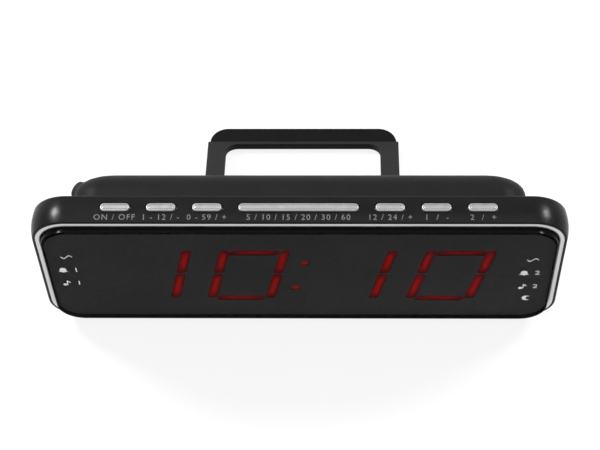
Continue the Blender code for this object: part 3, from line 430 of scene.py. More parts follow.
# Colour, shader settings, grain width and height, blotch width, contrast of the blotches and range of
# roughness, with lengths in millimetres. Real grain, flake and fibre are about a tenth of a millimetre
# wide, which is too fine to show, so the grain is drawn several times coarser.
FINISHES = {
    # Moulded black ABS with a spark-eroded grain: a soft sheen, with a faint sparkle of fine grain
    "moulded_abs": (
        "cabinet", {"IOR": 1.5, "Specular IOR Level": 0.10}, 0.5, 0.012, 9.0, 0.10, (0.25, 0.32)),
    # The same ABS from a coarser tool, behind the front frame: dull, with hardly a highlight
    "matt_abs": ("cabinet", *MATT_ABS),
    # The stand's legs: the same dull ABS, with its colour painted lighter, a painted light where the legs
    # tilt towards the lamps behind
    "stand_abs": ("stand", *MATT_ABS),
    # Fine ribs moulded across the foot lip, with its colour painted darker than the legs: a painted shade
    # for the level lip, which turns less towards the lamps behind, and for its grooves
    "ribbed_abs": ("lip", {"IOR": 1.5, "Specular IOR Level": 0.05}, 0.7, 0.04, 9.0, 0.15, (0.50, 0.60)),
    # Smoked acrylic, moulded against a polished tool and hard-coated: a clear window with a slight
    # moulding wave, whose reflection is faint, so its index is set below that of bare acrylic
    "smoked_acrylic": (
        "lens", {"IOR": 1.05, "Transmission Weight": 1.0}, 40.0, 0.02, 60.0, 0.06, (0.10, 0.14)),
    # Black gloss ink that masks the lens's side walls: deep black with small sharp highlights; its black
    # also stands in for the dark reflection along the lens's top edge, a painted reflection
    "masking_ink": (
        "#060606", {"IOR": 1.5, "Specular IOR Level": 0.05}, 1.0, 0.002, 6.0, 0.15, (0.12, 0.2)),
    # Satin plating on plastic: bright metal whose haze spreads each reflection over the whole ring
    "plated_abs": ("trim", {"Metallic": 1.0}, 0.6, 0.002, 12.0, 0.04, (0.30, 0.38)),
    # Sprayed silver paint: fine metal flake under a satin lacquer, brighter where the edges turn
    "silver_paint": (
        "button", {"Metallic": 0.55, "Coat Weight": 0.15, "Coat Roughness": 0.25},
        0.35, 0.006, 3.0, 0.05, (0.34, 0.46)),
    # Pad-printed ink: matt, with a slightly uneven film
    "grey_ink": ("legend", *PRINTED),
    "white_ink": ("lens_mark", *PRINTED),
    # Cast diffuser film: matt and pale, so that it shows grey through the smoked lens
    "diffuser_film": ("film", *PRINTED),
    # Light guide with its lamp off: a dull, very dark red
    "dark_light_guide": ("unlit", {"Specular IOR Level": 0.2}, 0.6, 0.005, 5.0, 0.15, (0.45, 0.6)),
    # Moulded rubber: dull, nearly black, with a dusty bloom in patches
    "moulded_rubber": ("#0e0e0e", {"Specular IOR Level": 0.25}, 0.4, 0.02, 3.0, 0.25, (0.65, 0.85)),
    # Zinc-plated steel: grey metal with a slight spangle and an uneven gloss
    "zinc_plated_steel": ("#b4b6b8", {"Metallic": 1.0}, 0.5, 0.004, 2.5, 0.12, (0.25, 0.45)),
    # Dull black plastic of inner parts: matt, with light moulding marks
    "dull_black_plastic": ("#121213", {"Specular IOR Level": 0.25}, 0.5, 0.008, 6.0, 0.15, (0.55, 0.7)),
    # Green solder resist over glass cloth laminate: satin, with the weave just showing through
    "solder_resist": (
        "#1f5a34", {"Coat Weight": 0.2, "Coat Roughness": 0.3}, 0.6, 0.01, 4.0, 0.2, (0.4, 0.55)),
    # Enamelled copper wire: warm brown metal with fine ridges between the turns
    "enamelled_copper": ("#8f4923", {"Metallic": 0.7}, 0.4, 0.08, 3.0, 0.3, (0.3, 0.45)),
    # Sintered ferrite: dark grey, gritty and slightly shiny
    "sintered_ferrite": ("#36363a", {"Metallic": 0.2}, 0.3, 0.02, 2.0, 0.2, (0.5, 0.7)),
    # Pressed paper: matt, dark and fibrous
    "pressed_paper": ("#201f1e", {"Specular IOR Level": 0.2}, 0.7, 0.05, 2.0, 0.3, (0.75, 0.9)),
    # Matt white paper of the floor: bright all over, with the object's soft shadow on it
    "white_paper": ("#f3f3f3", {"Specular IOR Level": 0.0}, 1.5, 0.01, 40.0, 0.02, (0.9, 1.0)),
}

# Finishes with ridges, by their pitch in millimetres and the axis they follow one another along.
# The wire is drawn at several times its real width, so that its turns show.
RIDGES = {"ribbed_abs": (1.257, "Y"), "enamelled_copper": (0.698, "Z")}


def add_node(tree, kind, settings, links=()):
    """Adds a node, sets its options, sockets and ramp stops by name, and links other outputs to it."""
    node = tree.nodes.new(kind)
    for name, value in settings.items():
        if name == "stops":
            for element, (place, tone) in zip(node.color_ramp.elements, value):
                element.position = place
                element.color = (*tone, 1.0)
        elif isinstance(name, int) or name in node.inputs:
            node.inputs[name].default_value = value
        else:
            setattr(node, name, value)
    for socket, output in links:
        tree.links.new(output, node.inputs[socket])
    return node


def shade(tone, share):
    """A colour made darker or lighter by a share."""
    return [min(1.0, channel * share) for channel in tone]


def grained_material(name, tone, settings, grain, grain_height, blotch, contrast, rough):
    """A surface with fine grain relief, soft blotches of tone and an uneven gloss, sized in millimetres."""
    material = bpy.data.materials.new(name)
    material.use_nodes = True
    tree = material.node_tree
    tree.nodes.clear()
    place = [("Vector", add_node(tree, "ShaderNodeTexCoord", {}).outputs["Object"])]
    fine = add_node(tree, "ShaderNodeTexNoise", {"Scale": 1 / (grain * MM), "Detail": GRAIN_DETAIL}, place)
    broad = add_node(tree, "ShaderNodeTexNoise", {"Scale": 1 / (blotch * MM)}, place).outputs["Fac"]
    stops = ((NOISE_LOW, shade(tone, 1 - contrast)), (NOISE_HIGH, shade(tone, 1 + contrast)))
    tones = add_node(tree, "ShaderNodeValToRGB", {"stops": stops}, [("Fac", broad)])
    limits = {"From Min": NOISE_LOW, "From Max": NOISE_HIGH, "To Min": rough[0], "To Max": rough[1]}
    gloss = add_node(tree, "ShaderNodeMapRange", limits, [("Value", broad)])
    height = [("Height", fine.outputs["Fac"])]
    relief = add_node(tree, "ShaderNodeBump", {"Distance": grain_height * MM}, height)
    surface = add_node(tree, "ShaderNodeBsdfPrincipled", settings, [
        ("Base Color", tones.outputs["Color"]),
        ("Roughness", gloss.outputs["Result"]),
        ("Normal", relief.outputs["Normal"]),
    ])
    add_node(tree, "ShaderNodeOutputMaterial", {}, [("Surface", surface.outputs["BSDF"])])
    return material


def add_ridges(material, pitch, direction):
    """Turns a grained material's relief into ridges; a wave texture of scale 1 has a period of pi / 10."""
    tree = material.node_tree
    settings = {
        "Scale": math.pi / 10 / (pitch * MM), "Distortion": RIDGE_WANDER, "bands_direction": direction,
    }
    place = tree.nodes["Texture Coordinate"].outputs["Object"]
    ridges = add_node(tree, "ShaderNodeTexWave", settings, [("Vector", place)])
    tree.links.new(ridges.outputs["Fac"], tree.nodes["Bump"].inputs["Height"])


def finish(name):
    """A finish of the table, made the first time it is asked for."""
    material = bpy.data.materials.get(name)
    if material is None:
        tone, *values = FINISHES[name]
        tone = linear(tone) if tone.startswith("#") else getattr(bpy.context.scene.radio_colours, tone)
        material = grained_material(name, tone, *values)
        if name in RIDGES:
            add_ridges(material, *RIDGES[name])
    return material


def lit_guide():
    # Light guide with a lamp behind it: a red glow that is strongest along the middle of the bar
    tone = bpy.context.scene.radio_colours.lit
    material = grained_material(
        "lit_light_guide", shade(tone, GUIDE_BODY), {"Emission Strength": GLOW, "Specular IOR Level": 0.2},
        grain=0.6, grain_height=0.005, blotch=9.0, contrast=0.2, rough=(0.35, 0.5),
    )
    tree = material.node_tree
    glow = add_node(tree, "ShaderNodeAttribute", {"attribute_name": GLOW_LAYER})
    power = {"operation": "POWER", 1: GLOW_FADE}
    fade = add_node(tree, "ShaderNodeMath", power, [(0, glow.outputs["Fac"])])
    stops = ((0.0, shade(tone, GLOW_EDGE)), (1.0, tone))
    light = add_node(tree, "ShaderNodeValToRGB", {"stops": stops}, [("Fac", fade.outputs["Value"])])
    tree.links.new(light.outputs["Color"], tree.nodes["Principled BSDF"].inputs["Emission Color"])
    return material


# Front frame
FRAME_CROWN_STEPS = 16
FRAME_EDGE_STEPS = 4
BUTTON_NAMES = ("power", "hour", "minute", "snooze", "time_set", "alarm_1", "alarm_2")
BUTTON_FRONT = 8.7
BUTTON_BACK = 12.7
BUTTON_ROUND_STEPS = 8
OPENING_GAP = 0.5
OPENING_FLARE = 1.05
OPENING_LIP = 0.3
OPENING_RISE = 0.9


def crown_height(depth, sizes):
    """Offset of the frame's crowned outside from the lens outline at a depth, in millimetres."""
    middle = (TRIM_FRONT + FRAME_BACK) / 2
    half = (FRAME_BACK - TRIM_FRONT) / 2
    return RIM_OUT + sizes.frame_crown * (1 - ((depth - middle) / half) ** 2)


def button_places(sizes):
    """Name, middle and half width of each button in millimetres, from the left."""
    small, wide = sizes.button_width / 2, sizes.snooze_width / 2
    places = []
    for steps, name in enumerate(BUTTON_NAMES, -(len(BUTTON_NAMES) // 2)):
        if steps == 0:
            places.append((name, 0.0, wide))
            continue
        pitch = sizes.button_width + sizes.button_space
        reach = wide + sizes.button_space + small + (abs(steps) - 1) * pitch
        places.append((name, math.copysign(reach, steps), small))
    return places


def frame_section(sizes):
    """Closed section of the frame: crowned outside, inside wall, ledge and trim groove."""
    front, rear = sizes.frame_front_edge, sizes.frame_rear_edge
    start, stop = TRIM_FRONT + front, FRAME_BACK - rear
    steps = range(FRAME_CROWN_STEPS + 1)
    depths = [start + (stop - start) * step / FRAME_CROWN_STEPS for step in steps]
    outside = [(crown_height(depth, sizes), depth) for depth in depths]
    front_edge = arc((outside[0][0] - front, start), front, 270, 360, FRAME_EDGE_STEPS)[:-1]
    rear_edge = arc((outside[-1][0] - rear, stop), rear, 0, 90, FRAME_EDGE_STEPS)[1:]
    inside = [(WALL_IN, FRAME_BACK), (WALL_IN, LEDGE_BACK), (FIT, LEDGE_BACK), (FIT, LEDGE_FRONT),
              (GROOVE, LEDGE_FRONT), (GROOVE, TRIM_FRONT)]
    return front_edge + outside + rear_edge + inside


def button_opening(middle, half, sizes):
    """A cutter for one button's opening, flared at the crown."""
    reach = half + OPENING_GAP
    front, back = BUTTON_FRONT - OPENING_GAP, BUTTON_BACK + OPENING_GAP
    deep = back - front
    low = sizes.lens_height
    crown = low + crown_height((front + back) / 2, sizes)
    cutter = add_rounded_block(
        "opening", (middle - reach, front, low), (middle + reach, back, crown - OPENING_LIP), 2,
        deep / 2 - END_FLAT, BUTTON_ROUND_STEPS,
    )
    pick_faces(cutter, looking(2))
    extrude((0, 0, OPENING_RISE))
    grown = (1 + OPENING_FLARE / reach, 1 + 2 * OPENING_FLARE / deep, 1)
    bpy.ops.transform.resize(value=grown, center_override=(middle, (front + back) / 2, crown))
    close_mesh()
    return cutter


class CLOCK_RADIO_OT_frame(bpy.types.Operator):
    """Makes the crowned front frame with its button openings."""

    bl_idname = "clock_radio.frame"
    bl_label = "Front frame"

    def execute(self, context):
        sizes = sizes_in_mm()
        shell = sweep_round_lens("frame_shell", frame_section(sizes), sizes)
        for _, middle, half in button_places(sizes):
            combine(shell, button_opening(middle, half, sizes), "DIFFERENCE")
        complete(shell, "moulded_abs", "cabinet", "cabinet_black", "front_frame")
        return {"FINISHED"}


# Trim ring
TRIM_IN = -0.45
TRIM_OUT = 2.45
TRIM_CREST = 2.95
TRIM_RISE = 1.05
TRIM_STEPS = 10
TRIM_SMOOTH = 40.0


class CLOCK_RADIO_OT_trim(bpy.types.Operator):
    """Makes the bright ring round the lens."""

    bl_idname = "clock_radio.trim"
    bl_label = "Trim ring"

    def execute(self, context):
        half = (TRIM_OUT - TRIM_IN) / 2
        swell = arc((1, 1), 1, 180, 360, TRIM_STEPS)
        front = [(TRIM_IN + half * out, TRIM_CREST + TRIM_RISE * back) for out, back in swell]
        section = [(TRIM_IN, TRIM_BACK), *front, (TRIM_OUT, TRIM_BACK)]
        ring = sweep_round_lens("trim_bezel", section, sizes_in_mm())
        complete(ring, "plated_abs", "cabinet", "trim_silver", "trim_ring", angle=TRIM_SMOOTH)
        return {"FINISHED"}


# Display lens
LENS_EDGE_STEPS = 4
LENS_INSET = 0.6
WALL_FACING = 0.5
BAND_SLACK = 0.1
MIDDLE_SLACK = 0.5


class CLOCK_RADIO_OT_lens(bpy.types.Operator):
    """Makes the smoked lens: a shallow cap with a flange at its rear edge."""

    bl_idname = "clock_radio.lens"
    bl_label = "Display lens"

    def execute(self, context):
        sizes = sizes_in_mm()
        half = sizes.lens_width / 2 - LENS_INSET
        high = sizes.lens_height
        lens = add_rounded_block(
            "lens_cap", (-half, 0, 0), (half, LENS_FLANGE_FRONT, high), 1, sizes.lens_corner, CORNER_STEPS
        )
        pick_edges(lens, at_level(1, 0))
        bevel_picked(sizes.lens_edge, LENS_EDGE_STEPS)
        pick_faces(lens, looking(1))
        extrude((0, LENS_FLANGE_BACK - LENS_FLANGE_FRONT, 0))
        close_mesh()
        band = (LENS_FLANGE_BACK + LENS_FLANGE_FRONT) / 2
        pick_faces(lens, lambda centre, normal: near(centre.y, band, BAND_SLACK)
                   and abs(normal.y) < WALL_FACING)
        bpy.ops.mesh.extrude_region_shrink_fatten(TRANSFORM_OT_shrink_fatten={"value": FLANGE_OUT})
        close_mesh()
        pick_faces(lens, lambda centre, normal: normal.y > LOOKING and near(centre.x, 0, MIDDLE_SLACK)
                   and near(centre.z, high / 2, MIDDLE_SLACK))
        bpy.ops.mesh.inset(thickness=sizes.lens_skirt)
        extrude((0, sizes.lens_face - LENS_FLANGE_BACK, 0))
        close_mesh()
        clean_mesh(lens)
        walls = [face.index for face in lens.data.polygons if abs(face.normal.y) < WALL_FACING]
        settle(lens)
        # The side walls take the black ink, which is partly masking and partly a painted dark reflection
        dress(lens, finish("smoked_acrylic"), finish("masking_ink"))
        for index in walls:
            lens.data.polygons[index].material_index = 1
        hand_over(lens, "cabinet", "lens_smoked", "display_lens")
        return {"FINISHED"}


# Buttons
BUTTON_LOW = 81.9
BUTTON_HIGH = 86.2
BUTTON_EDGE_STEPS = 3
BUTTON_RIM = 0.275
BUTTON_GROOVE = 0.175
BUTTON_EAR = 1.2
EAR_HIGH = 82.9
EAR_CORNER = 0.4
EAR_STEPS = 2


def make_button(half, sizes):
    """A round-ended button cap with a fine groove inside its rim and a foot that keeps it in."""
    cap = add_rounded_block(
        "key", (-half, BUTTON_FRONT, BUTTON_LOW), (half, BUTTON_BACK, BUTTON_HIGH), 2,
        (BUTTON_BACK - BUTTON_FRONT) / 2 - END_FLAT, BUTTON_ROUND_STEPS,
    )
    pick_edges(cap, at_level(2, BUTTON_HIGH))
    bevel_picked(sizes.button_edge, BUTTON_EDGE_STEPS)
    pick_faces(cap, looking(2))
    bpy.ops.mesh.inset(thickness=BUTTON_RIM)
    bpy.ops.mesh.inset(thickness=BUTTON_GROOVE, depth=-BUTTON_GROOVE)
    bpy.ops.mesh.inset(thickness=BUTTON_GROOVE, depth=BUTTON_GROOVE)
    bpy.ops.mesh.inset(thickness=BUTTON_RIM, depth=BUTTON_GROOVE / 2)
    close_mesh()
    reach = half + BUTTON_EAR
    foot = add_rounded_block(
        "foot", (-reach, BUTTON_FRONT + FIT, BUTTON_LOW), (reach, BUTTON_BACK - FIT, EAR_HIGH), 2,
        EAR_CORNER, EAR_STEPS,
    )
    combine(cap, foot, "UNION")
    return cap


class CLOCK_RADIO_OT_buttons(bpy.types.Operator):
    """Makes the row of seven buttons."""

    bl_idname = "clock_radio.buttons"
    bl_label = "Buttons"

    def execute(self, context):
        sizes = sizes_in_mm()
        models = {}
        for name, middle, half in button_places(sizes):
            if half not in models:
                models[half] = make_button(half, sizes)
            cap = copy_piece(models[half], f"{name}_key", (middle, 0, 0))
            complete(cap, "silver_paint", f"{name}_button", "button_silver", f"{name}_button")
        for model in models.values():
            bpy.data.objects.remove(model)
        return {"FINISHED"}


# Printed marks
LEGEND_DEPTH = 5.9
INK = 0.03
CAPITAL_SHARE = 0.72
LETTER_SPACE = 1.2
LETTER_STEPS = 3
LEGENDS = {
    "power": "ON / OFF", "hour": "1 - 12 / -", "minute": "0 - 59 / +",
    "snooze": "5 / 10 / 15 / 20 / 30 / 60",
    "time_set": "12 / 24 / +", "alarm_1": "1  /  -", "alarm_2": "2  /  +",
}


def add_words(name, words, height):
    """Words as a thin mesh of ink, lying in x and y round their middle, with a height in millimetres."""
    clear_selection()
    bpy.ops.object.text_add()
    text = bpy.context.object.data
    text.body = words
    text.align_x = text.align_y = "CENTER"
    text.size = height / CAPITAL_SHARE
    text.space_character = LETTER_SPACE
    text.extrude = INK / 2
    text.resolution_u = LETTER_STEPS
    bpy.ops.object.convert(target="MESH")
    piece = name_new(name)
    clean_mesh(piece)
    return piece


class CLOCK_RADIO_OT_legends(bpy.types.Operator):
    """Prints the plain marks below the buttons."""

    bl_idname = "clock_radio.legends"
    bl_label = "Button marks"

    def execute(self, context):
        sizes = sizes_in_mm()
        rise = crown_height(LEGEND_DEPTH, sizes)
        slope = math.atan(crown_height(LEGEND_DEPTH + 1, sizes) - rise)
        for name, middle, _ in button_places(sizes):
            words = add_words(f"{name}_mark", LEGENDS[name], sizes.legend_height)
            place = Matrix.Translation((middle, LEGEND_DEPTH, sizes.lens_height + rise))
            apply_matrix(words, SLAB @ place @ Matrix.Rotation(slope, 4, "X"))
            dress(words, finish("grey_ink"))
            hand_over(words, "cabinet", "button_silver")
        return {"FINISHED"}


# Small signs on the lens, with plain numbers: kind, number and height up the face at each end
SIGN_PLACE = 104.5
SIGN_GAP = 3.0
NUMBER_HEIGHT = 3.6
SIGNS = {
    "left": (-SIGN_PLACE, (("wave", "", 60.0), ("bell", "1", 48.0), ("note", "1", 35.7))),
    "right": (SIGN_PLACE, (
        ("wave", "", 57.8), ("bell", "2", 45.8), ("note", "2", 33.0), ("moon", "", 21.8))),
}
WAVE_RUN = [0.4 * step - 2.6 for step in range(14)]
WAVE_TOP = [(x, 1.2 * math.sin(1.25 * x) + 0.35) for x in WAVE_RUN]

# Outlines of the signs round their middle, in millimetres
SIGN_OUTLINES = {
    "bell": [(1.5, -1.0), *arc((0, 0.4), 1.5, 0, 180, 10), (-1.5, -1.0), (-2.3, -1.7), (-0.6, -1.7),
             (-0.6, -2.3), (0.6, -2.3), (0.6, -1.7), (2.3, -1.7)],
    "note": [(0.35, 2.3), *arc((-0.6, -1.5), 1.0, 20, 335, 12), (0.8, -1.6), (0.8, 1.1), (2.0, 0.2),
             (2.0, 1.1)],
    "moon": arc((0, 0), 2.2, 50, 310, 16) + arc((1.3, 0), 1.7, 265, 95, 12),
    "wave": WAVE_TOP + [(x, z - 0.7) for x, z in reversed(WAVE_TOP)],
}


def add_sign(kind, number, middle, height):
    """A flat outline printed on the lens, with its number beside it if it has one."""
    across = middle - SIGN_GAP if number else middle
    points = [(across + x, 0, height + z) for x, z in SIGN_OUTLINES[kind]]
    pieces = [draw_plate(kind, points, (0, -INK, 0))]
    if number:
        figure = add_words("number", number, NUMBER_HEIGHT)
        place = Matrix.Translation((middle + SIGN_GAP, -INK / 2, height))
        figure.data.transform(place @ Matrix.Rotation(math.pi / 2, 4, "X"))
        pieces.append(figure)
    return pieces


class CLOCK_RADIO_OT_signs(bpy.types.Operator):
    """Prints the small signs at both ends of the lens."""

    bl_idname = "clock_radio.signs"
    bl_label = "Lens signs"

    def execute(self, context):
        for side, (middle, signs) in SIGNS.items():
            for kind, number, height in signs:
                sign = join_pieces(add_sign(kind, number, middle, height), f"{kind}_sign_{side}")
                apply_matrix(sign, SLAB)
                dress(sign, finish("white_ink"))
                hand_over(sign, "cabinet", "trim_silver")
        return {"FINISHED"}


# Display
NUMERALS = {
    "0": {"top", "bottom", "upper_left", "upper_right", "lower_left", "lower_right"},
    "1": {"upper_right", "lower_right"},
}
SHOWN_TIME = "1010"
DIGIT_MIDDLE = 38.5
BAR_FRONT = 3.0
PLATE_FRONT = 8.0
PLATE_BACK = 9.0
PLATE_MARGIN = 1.5
SLANT = math.radians(10.5)
BAR_END = 0.4
BAR_STEPS = 4
BAR_SHORT = 2.4
FLAT_GAP = 1 / 3
WAIST = 2.3
END_FADE = 6.0
COLON_RADIUS = 2.1
COLON_RISE = 11.6
COLON_STEPS = 6
FLAT_GLOW = 0.7
DOT_GLOW = 0.95
GLOW_RIM = 0.36
WINDOW_MARGIN = 0.08
WINDOW_FRONT = 1.9
WINDOW_BACK = 8.7
REFLECTOR_LOW = (-102.6, 2.9, 13.0)
REFLECTOR_HIGH = (102.6, 7.7, 70.0)
FILM_FRONT = 2.65
FILM_BACK = 2.85
FILM_HIGH = 76.4
FILM_ROOM = 0.1


def slant(piece, middle):
    """Slants upright bars about the digit's middle and moves them to their place."""
    lean = Matrix.Identity(4)
    lean[0][2] = math.tan(SLANT)
    piece.data.transform(Matrix.Translation((middle, 0, DIGIT_MIDDLE)) @ lean)


def digit_bars(sizes):
    """Limits of each bar of a digit in x and z round its middle, in millimetres."""
    x, z = sizes.digit_width / 2, sizes.digit_height / 2
    stroke, gap = sizes.stroke, sizes.bar_gap
    inner = x - stroke - gap * FLAT_GAP
    bars = {
        "top": ((-inner, inner), (z - stroke, z)),
        "middle": ((-inner, inner), (WAIST - stroke / 2, WAIST + stroke / 2)),
        "bottom": ((-inner, inner), (-z, stroke - z)),
    }
    for side, limits in (("left", (-x, stroke - x)), ("right", (x - stroke, x))):
        bars[f"upper_{side}"] = (limits, (WAIST + gap / 2, z))
        bars[f"lower_{side}"] = (limits, (BAR_SHORT - z, WAIST - gap / 2))
    return bars


def dot_limits():
    """Limits of the colon's two dots in x and z round its middle, in millimetres."""
    across = (-COLON_RADIUS, COLON_RADIUS)
    return [(across, (rise - COLON_RADIUS, rise + COLON_RADIUS)) for rise in (-COLON_RISE, COLON_RISE)]


def guide_block(limits, front, back, corner, steps, margin=0.0):
    """A round-cornered block with limits in x and z, which a margin widens, between two depths."""
    (left, right), (bottom, top) = limits
    low = (left - margin, front, bottom - margin)
    high = (right + margin, back, top + margin)
    return add_rounded_block("guide", low, high, 1, corner, steps)


def add_guide(limits, corner, steps, rim, fade, strength):
    """A light guide that shines in the middle of its front, inside a rim and a longer fade at the ends."""
    guide = guide_block(limits, BAR_FRONT, PLATE_FRONT, corner, steps)
    (left, right), (bottom, top) = limits
    wide, tall = right - left, top - bottom
    share = (max(wide, tall) - 2 * fade) / (max(wide, tall) - 2 * rim)
    shrunk = (share, 1, 1) if wide > tall else (1, 1, share)
    pick_faces(guide, looking(1, -1))
    bpy.ops.mesh.inset(thickness=rim)
    middle = ((left + right) / 2, BAR_FRONT, (bottom + top) / 2)
    bpy.ops.transform.resize(value=shrunk, center_override=middle)
    close_mesh()
    layer = guide.data.attributes.new(GLOW_LAYER, "FLOAT", "POINT")
    for value, vertex in zip(layer.data, guide.data.vertices):
        value.value = strength if vertex.select else 0.0
    return guide


def join_guides(name, half, tall, guides, unlit):
    """Light guides on their dark back plate, slanted about their own middle."""
    half, tall = half + PLATE_MARGIN, tall + PLATE_MARGIN
    plate = add_block("plate", (-half, PLATE_FRONT, -tall), (half, PLATE_BACK, tall))
    dress(plate, unlit)
    joined = join_pieces([plate, *guides], name)
    slant(joined, 0.0)
    return joined


def make_digit(shown, sizes, lit, unlit):
    """One digit: seven light guide bars, of which some shine."""
    guides = []
    for name, limits in digit_bars(sizes).items():
        strength = 1.0 if name.startswith(("upper", "lower")) else FLAT_GLOW
        bar = add_guide(
            limits, sizes.stroke * BAR_END, BAR_STEPS, sizes.stroke * GLOW_RIM, END_FADE, strength
        )
        dress(bar, lit if name in shown else unlit)
        guides.append(bar)
    return join_guides("digit", sizes.digit_width / 2, sizes.digit_height / 2, guides, unlit)


def make_colon(lit, unlit):
    """The colon: two round light guides."""
    rim = COLON_RADIUS * GLOW_RIM
    guides = []
    for limits in dot_limits():
        dot = add_guide(limits, COLON_RADIUS - END_FLAT, COLON_STEPS, rim, rim, DOT_GLOW)
        dress(dot, lit)
        guides.append(dot)
    return join_guides("colon_dots", COLON_RADIUS, COLON_RISE + COLON_RADIUS, guides, unlit)


def cut_windows(piece, shown, sizes):
    """Cuts a window in front of the shown bars of the digit at each middle, and in front of the dots."""
    bars = digit_bars(sizes)
    corner = sizes.stroke * BAR_END
    windows = [(bars[name], corner, middle) for middle, names in shown.items() for name in sorted(names)]
    windows += [(limits, COLON_RADIUS - END_FLAT, 0.0) for limits in dot_limits()]
    cutters = []
    for limits, rounding, middle in windows:
        cutter = guide_block(limits, WINDOW_FRONT, WINDOW_BACK, rounding, BAR_STEPS, WINDOW_MARGIN)
        slant(cutter, middle)
        cutters.append(cutter)
    combine(piece, join_pieces(cutters, "windows"), "DIFFERENCE")


def make_film(sizes):
    """The diffuser film behind the lens face, which stops short of its upper edge."""
    side = sizes.lens_skirt + FILM_ROOM
    half = sizes.lens_width / 2 - LENS_INSET - side
    limits = ((-half, half), (side, FILM_HIGH))
    film = guide_block(limits, FILM_FRONT, FILM_BACK, sizes.lens_corner - side, CORNER_STEPS)
    film.name = film.data.name = "lens_film"
    return film


class CLOCK_RADIO_OT_display(bpy.types.Operator):
    """Makes the four digits and the colon of the display, with their reflector and film."""

    bl_idname = "clock_radio.display"
    bl_label = "Display"

    def execute(self, context):
        sizes = sizes_in_mm()
        lit, unlit = lit_guide(), finish("dark_light_guide")
        near_middle = (sizes.digit_pitch + sizes.colon_space) / 2
        far_middle = near_middle + sizes.digit_pitch
        middles = (-far_middle, -near_middle, near_middle, far_middle)
        models = {kind: make_digit(shown, sizes, lit, unlit) for kind, shown in NUMERALS.items()}
        for number, (middle, kind) in enumerate(zip(middles, SHOWN_TIME), 1):
            digit = copy_piece(models[kind], f"digit_{number}_guide", (middle, 0, 0))
            settle(digit)
            hand_over(digit, "cabinet", "led_red", f"digit_{number}")
        for model in models.values():
            bpy.data.objects.remove(model)
        plate = add_block("reflector_plate", REFLECTOR_LOW, REFLECTOR_HIGH)
        cut_windows(plate, {middle: digit_bars(sizes) for middle in middles}, sizes)
        complete(plate, "dull_black_plastic", "cabinet", "inner_black", "display_reflector")
        # The film is cut only where a bar shines, because a dark bar can't be told from the film
        film = make_film(sizes)
        cut_windows(film, {middle: NUMERALS[kind] for middle, kind in zip(middles, SHOWN_TIME)}, sizes)
        complete(film, "diffuser_film", "cabinet", "inner_black")
        colon = make_colon(lit, unlit)
        settle(colon)
        hand_over(colon, "cabinet", "led_red", "colon_guide")
        return {"FINISHED"}


# Rear housing: the rear frame has y out of the rear face and z up it, round the speaker's middle
BOX_HALF = 101.4
BOX_LOW = 8.0
BOX_HIGH = 81.8
BOX_CORNER = 12.0
BOX_SIDE_ROUND = 11.0
BOX_TOP_ROUND = 12.0
REAR_TOP = 34.0
REAR_TILT = math.radians(8.478)
REAR = Matrix.Translation((0, 39.45, 45.22)) @ Matrix.Rotation(REAR_TILT, 4, "X")
FLANGE_BACK = 16.8
SHELL_WALL = 2.2
ROOT_FILLET = 0.8
ROOT_STEPS = 3
RING_STEPS = 10
ROUND_STEPS = 8
LUG_PLACES = (34.05, 47.05, -37.45, -50.45)
LUG_THICK = 3.4
LUG_ROUND = 4.0
LUG_FLARE = 2.0
LUG_STEPS = 12
LUG_EDGE = 0.4
LUG_EDGE_STEPS = 3
LUG_FOOT = 0.1
PIVOT_OUT = 7.5
PIVOT_UP = -19.11
ROD_SIDES = 32
PIN_HOLE = 1.8
PIN_HOLE_LONG = 40.0
SLOT_COUNT = 7
SLOT_PITCH = 5.4
SLOT_HEIGHT = 2.4
SLOT_REACH = 20.5
SLOT_LIP = 0.4
SLOT_STEPS = 6
BAY_PLACE = 68.5
BAY_HALF = (13.0, 23.25)
BAY_DEEP = 15.68
BAY_WALL = 1.6
BAY_CORNER = 2.0
BAY_STEPS = 3
SEAT_CORNER = 1.0
CUT_OUT = 1.0
DOOR_LAP = 2.0
GLAND_UP = 64.8
GLAND_TURN = math.radians(35.0)
GLAND_HOLE = 3.8
GLAND_HOLE_LONG = 16.0
SCREW_COUNT = 4
SCREW_HOLE = 1.6
SCREW_HOLE_LONG = 8.0


def rear_depth(height):
    """Depth of the leaning rear face at a height up the lens face."""
    return REAR_TOP + (BOX_HIGH - height) * math.tan(REAR_TILT)


def outline_ring(half, low, high, corner, depth_at):
    """Points round a rounded rectangle, each at the depth that its height and facing give."""
    ring = []
    for index, (side, top) in enumerate(((1, 1), (-1, 1), (-1, -1), (1, -1))):
        across = side * (half - corner)
        up = high - corner if top > 0 else low + corner
        for step in range(RING_STEPS + 1):
            facing = math.pi / 2 * (index + step / RING_STEPS)
            height = up + corner * math.sin(facing)
            ring.append((across + corner * math.cos(facing), depth_at(height, facing), height))
    return ring


def shell_rings(sizes):
    """Rings of the housing's outside, from the flange's edge to the rear face."""
    half, high, out = sizes.lens_width / 2, sizes.lens_height, FLANGE_OUT
    corner = sizes.lens_corner + out
    rings = [outline_ring(half + out, -out, high + out, corner, lambda height, facing: FLANGE_BACK)]
    for step in range(ROOT_STEPS + 1):
        turn = math.pi / 2 * step / ROOT_STEPS
        out = ROOT_FILLET * (1 - math.sin(turn))
        root = FLANGE_BACK + ROOT_FILLET * (1 - math.cos(turn))
        rings.append(outline_ring(
            BOX_HALF + out, BOX_LOW - out, BOX_HIGH + out, BOX_CORNER + out, lambda height, facing: root
        ))
    for step in range(ROUND_STEPS + 1):
        turn = math.pi / 2 * step / ROUND_STEPS
        inset, short = 1 - math.cos(turn), 1 - math.sin(turn)
        side, top = BOX_SIDE_ROUND * inset, BOX_TOP_ROUND * inset

        def depth_at(height, facing):
            reach = math.hypot(BOX_SIDE_ROUND * math.cos(facing), BOX_TOP_ROUND * math.sin(facing))
            return rear_depth(height) - reach * short

        rings.append(outline_ring(BOX_HALF - side, BOX_LOW + top, BOX_HIGH - top, BOX_CORNER, depth_at))
    return rings


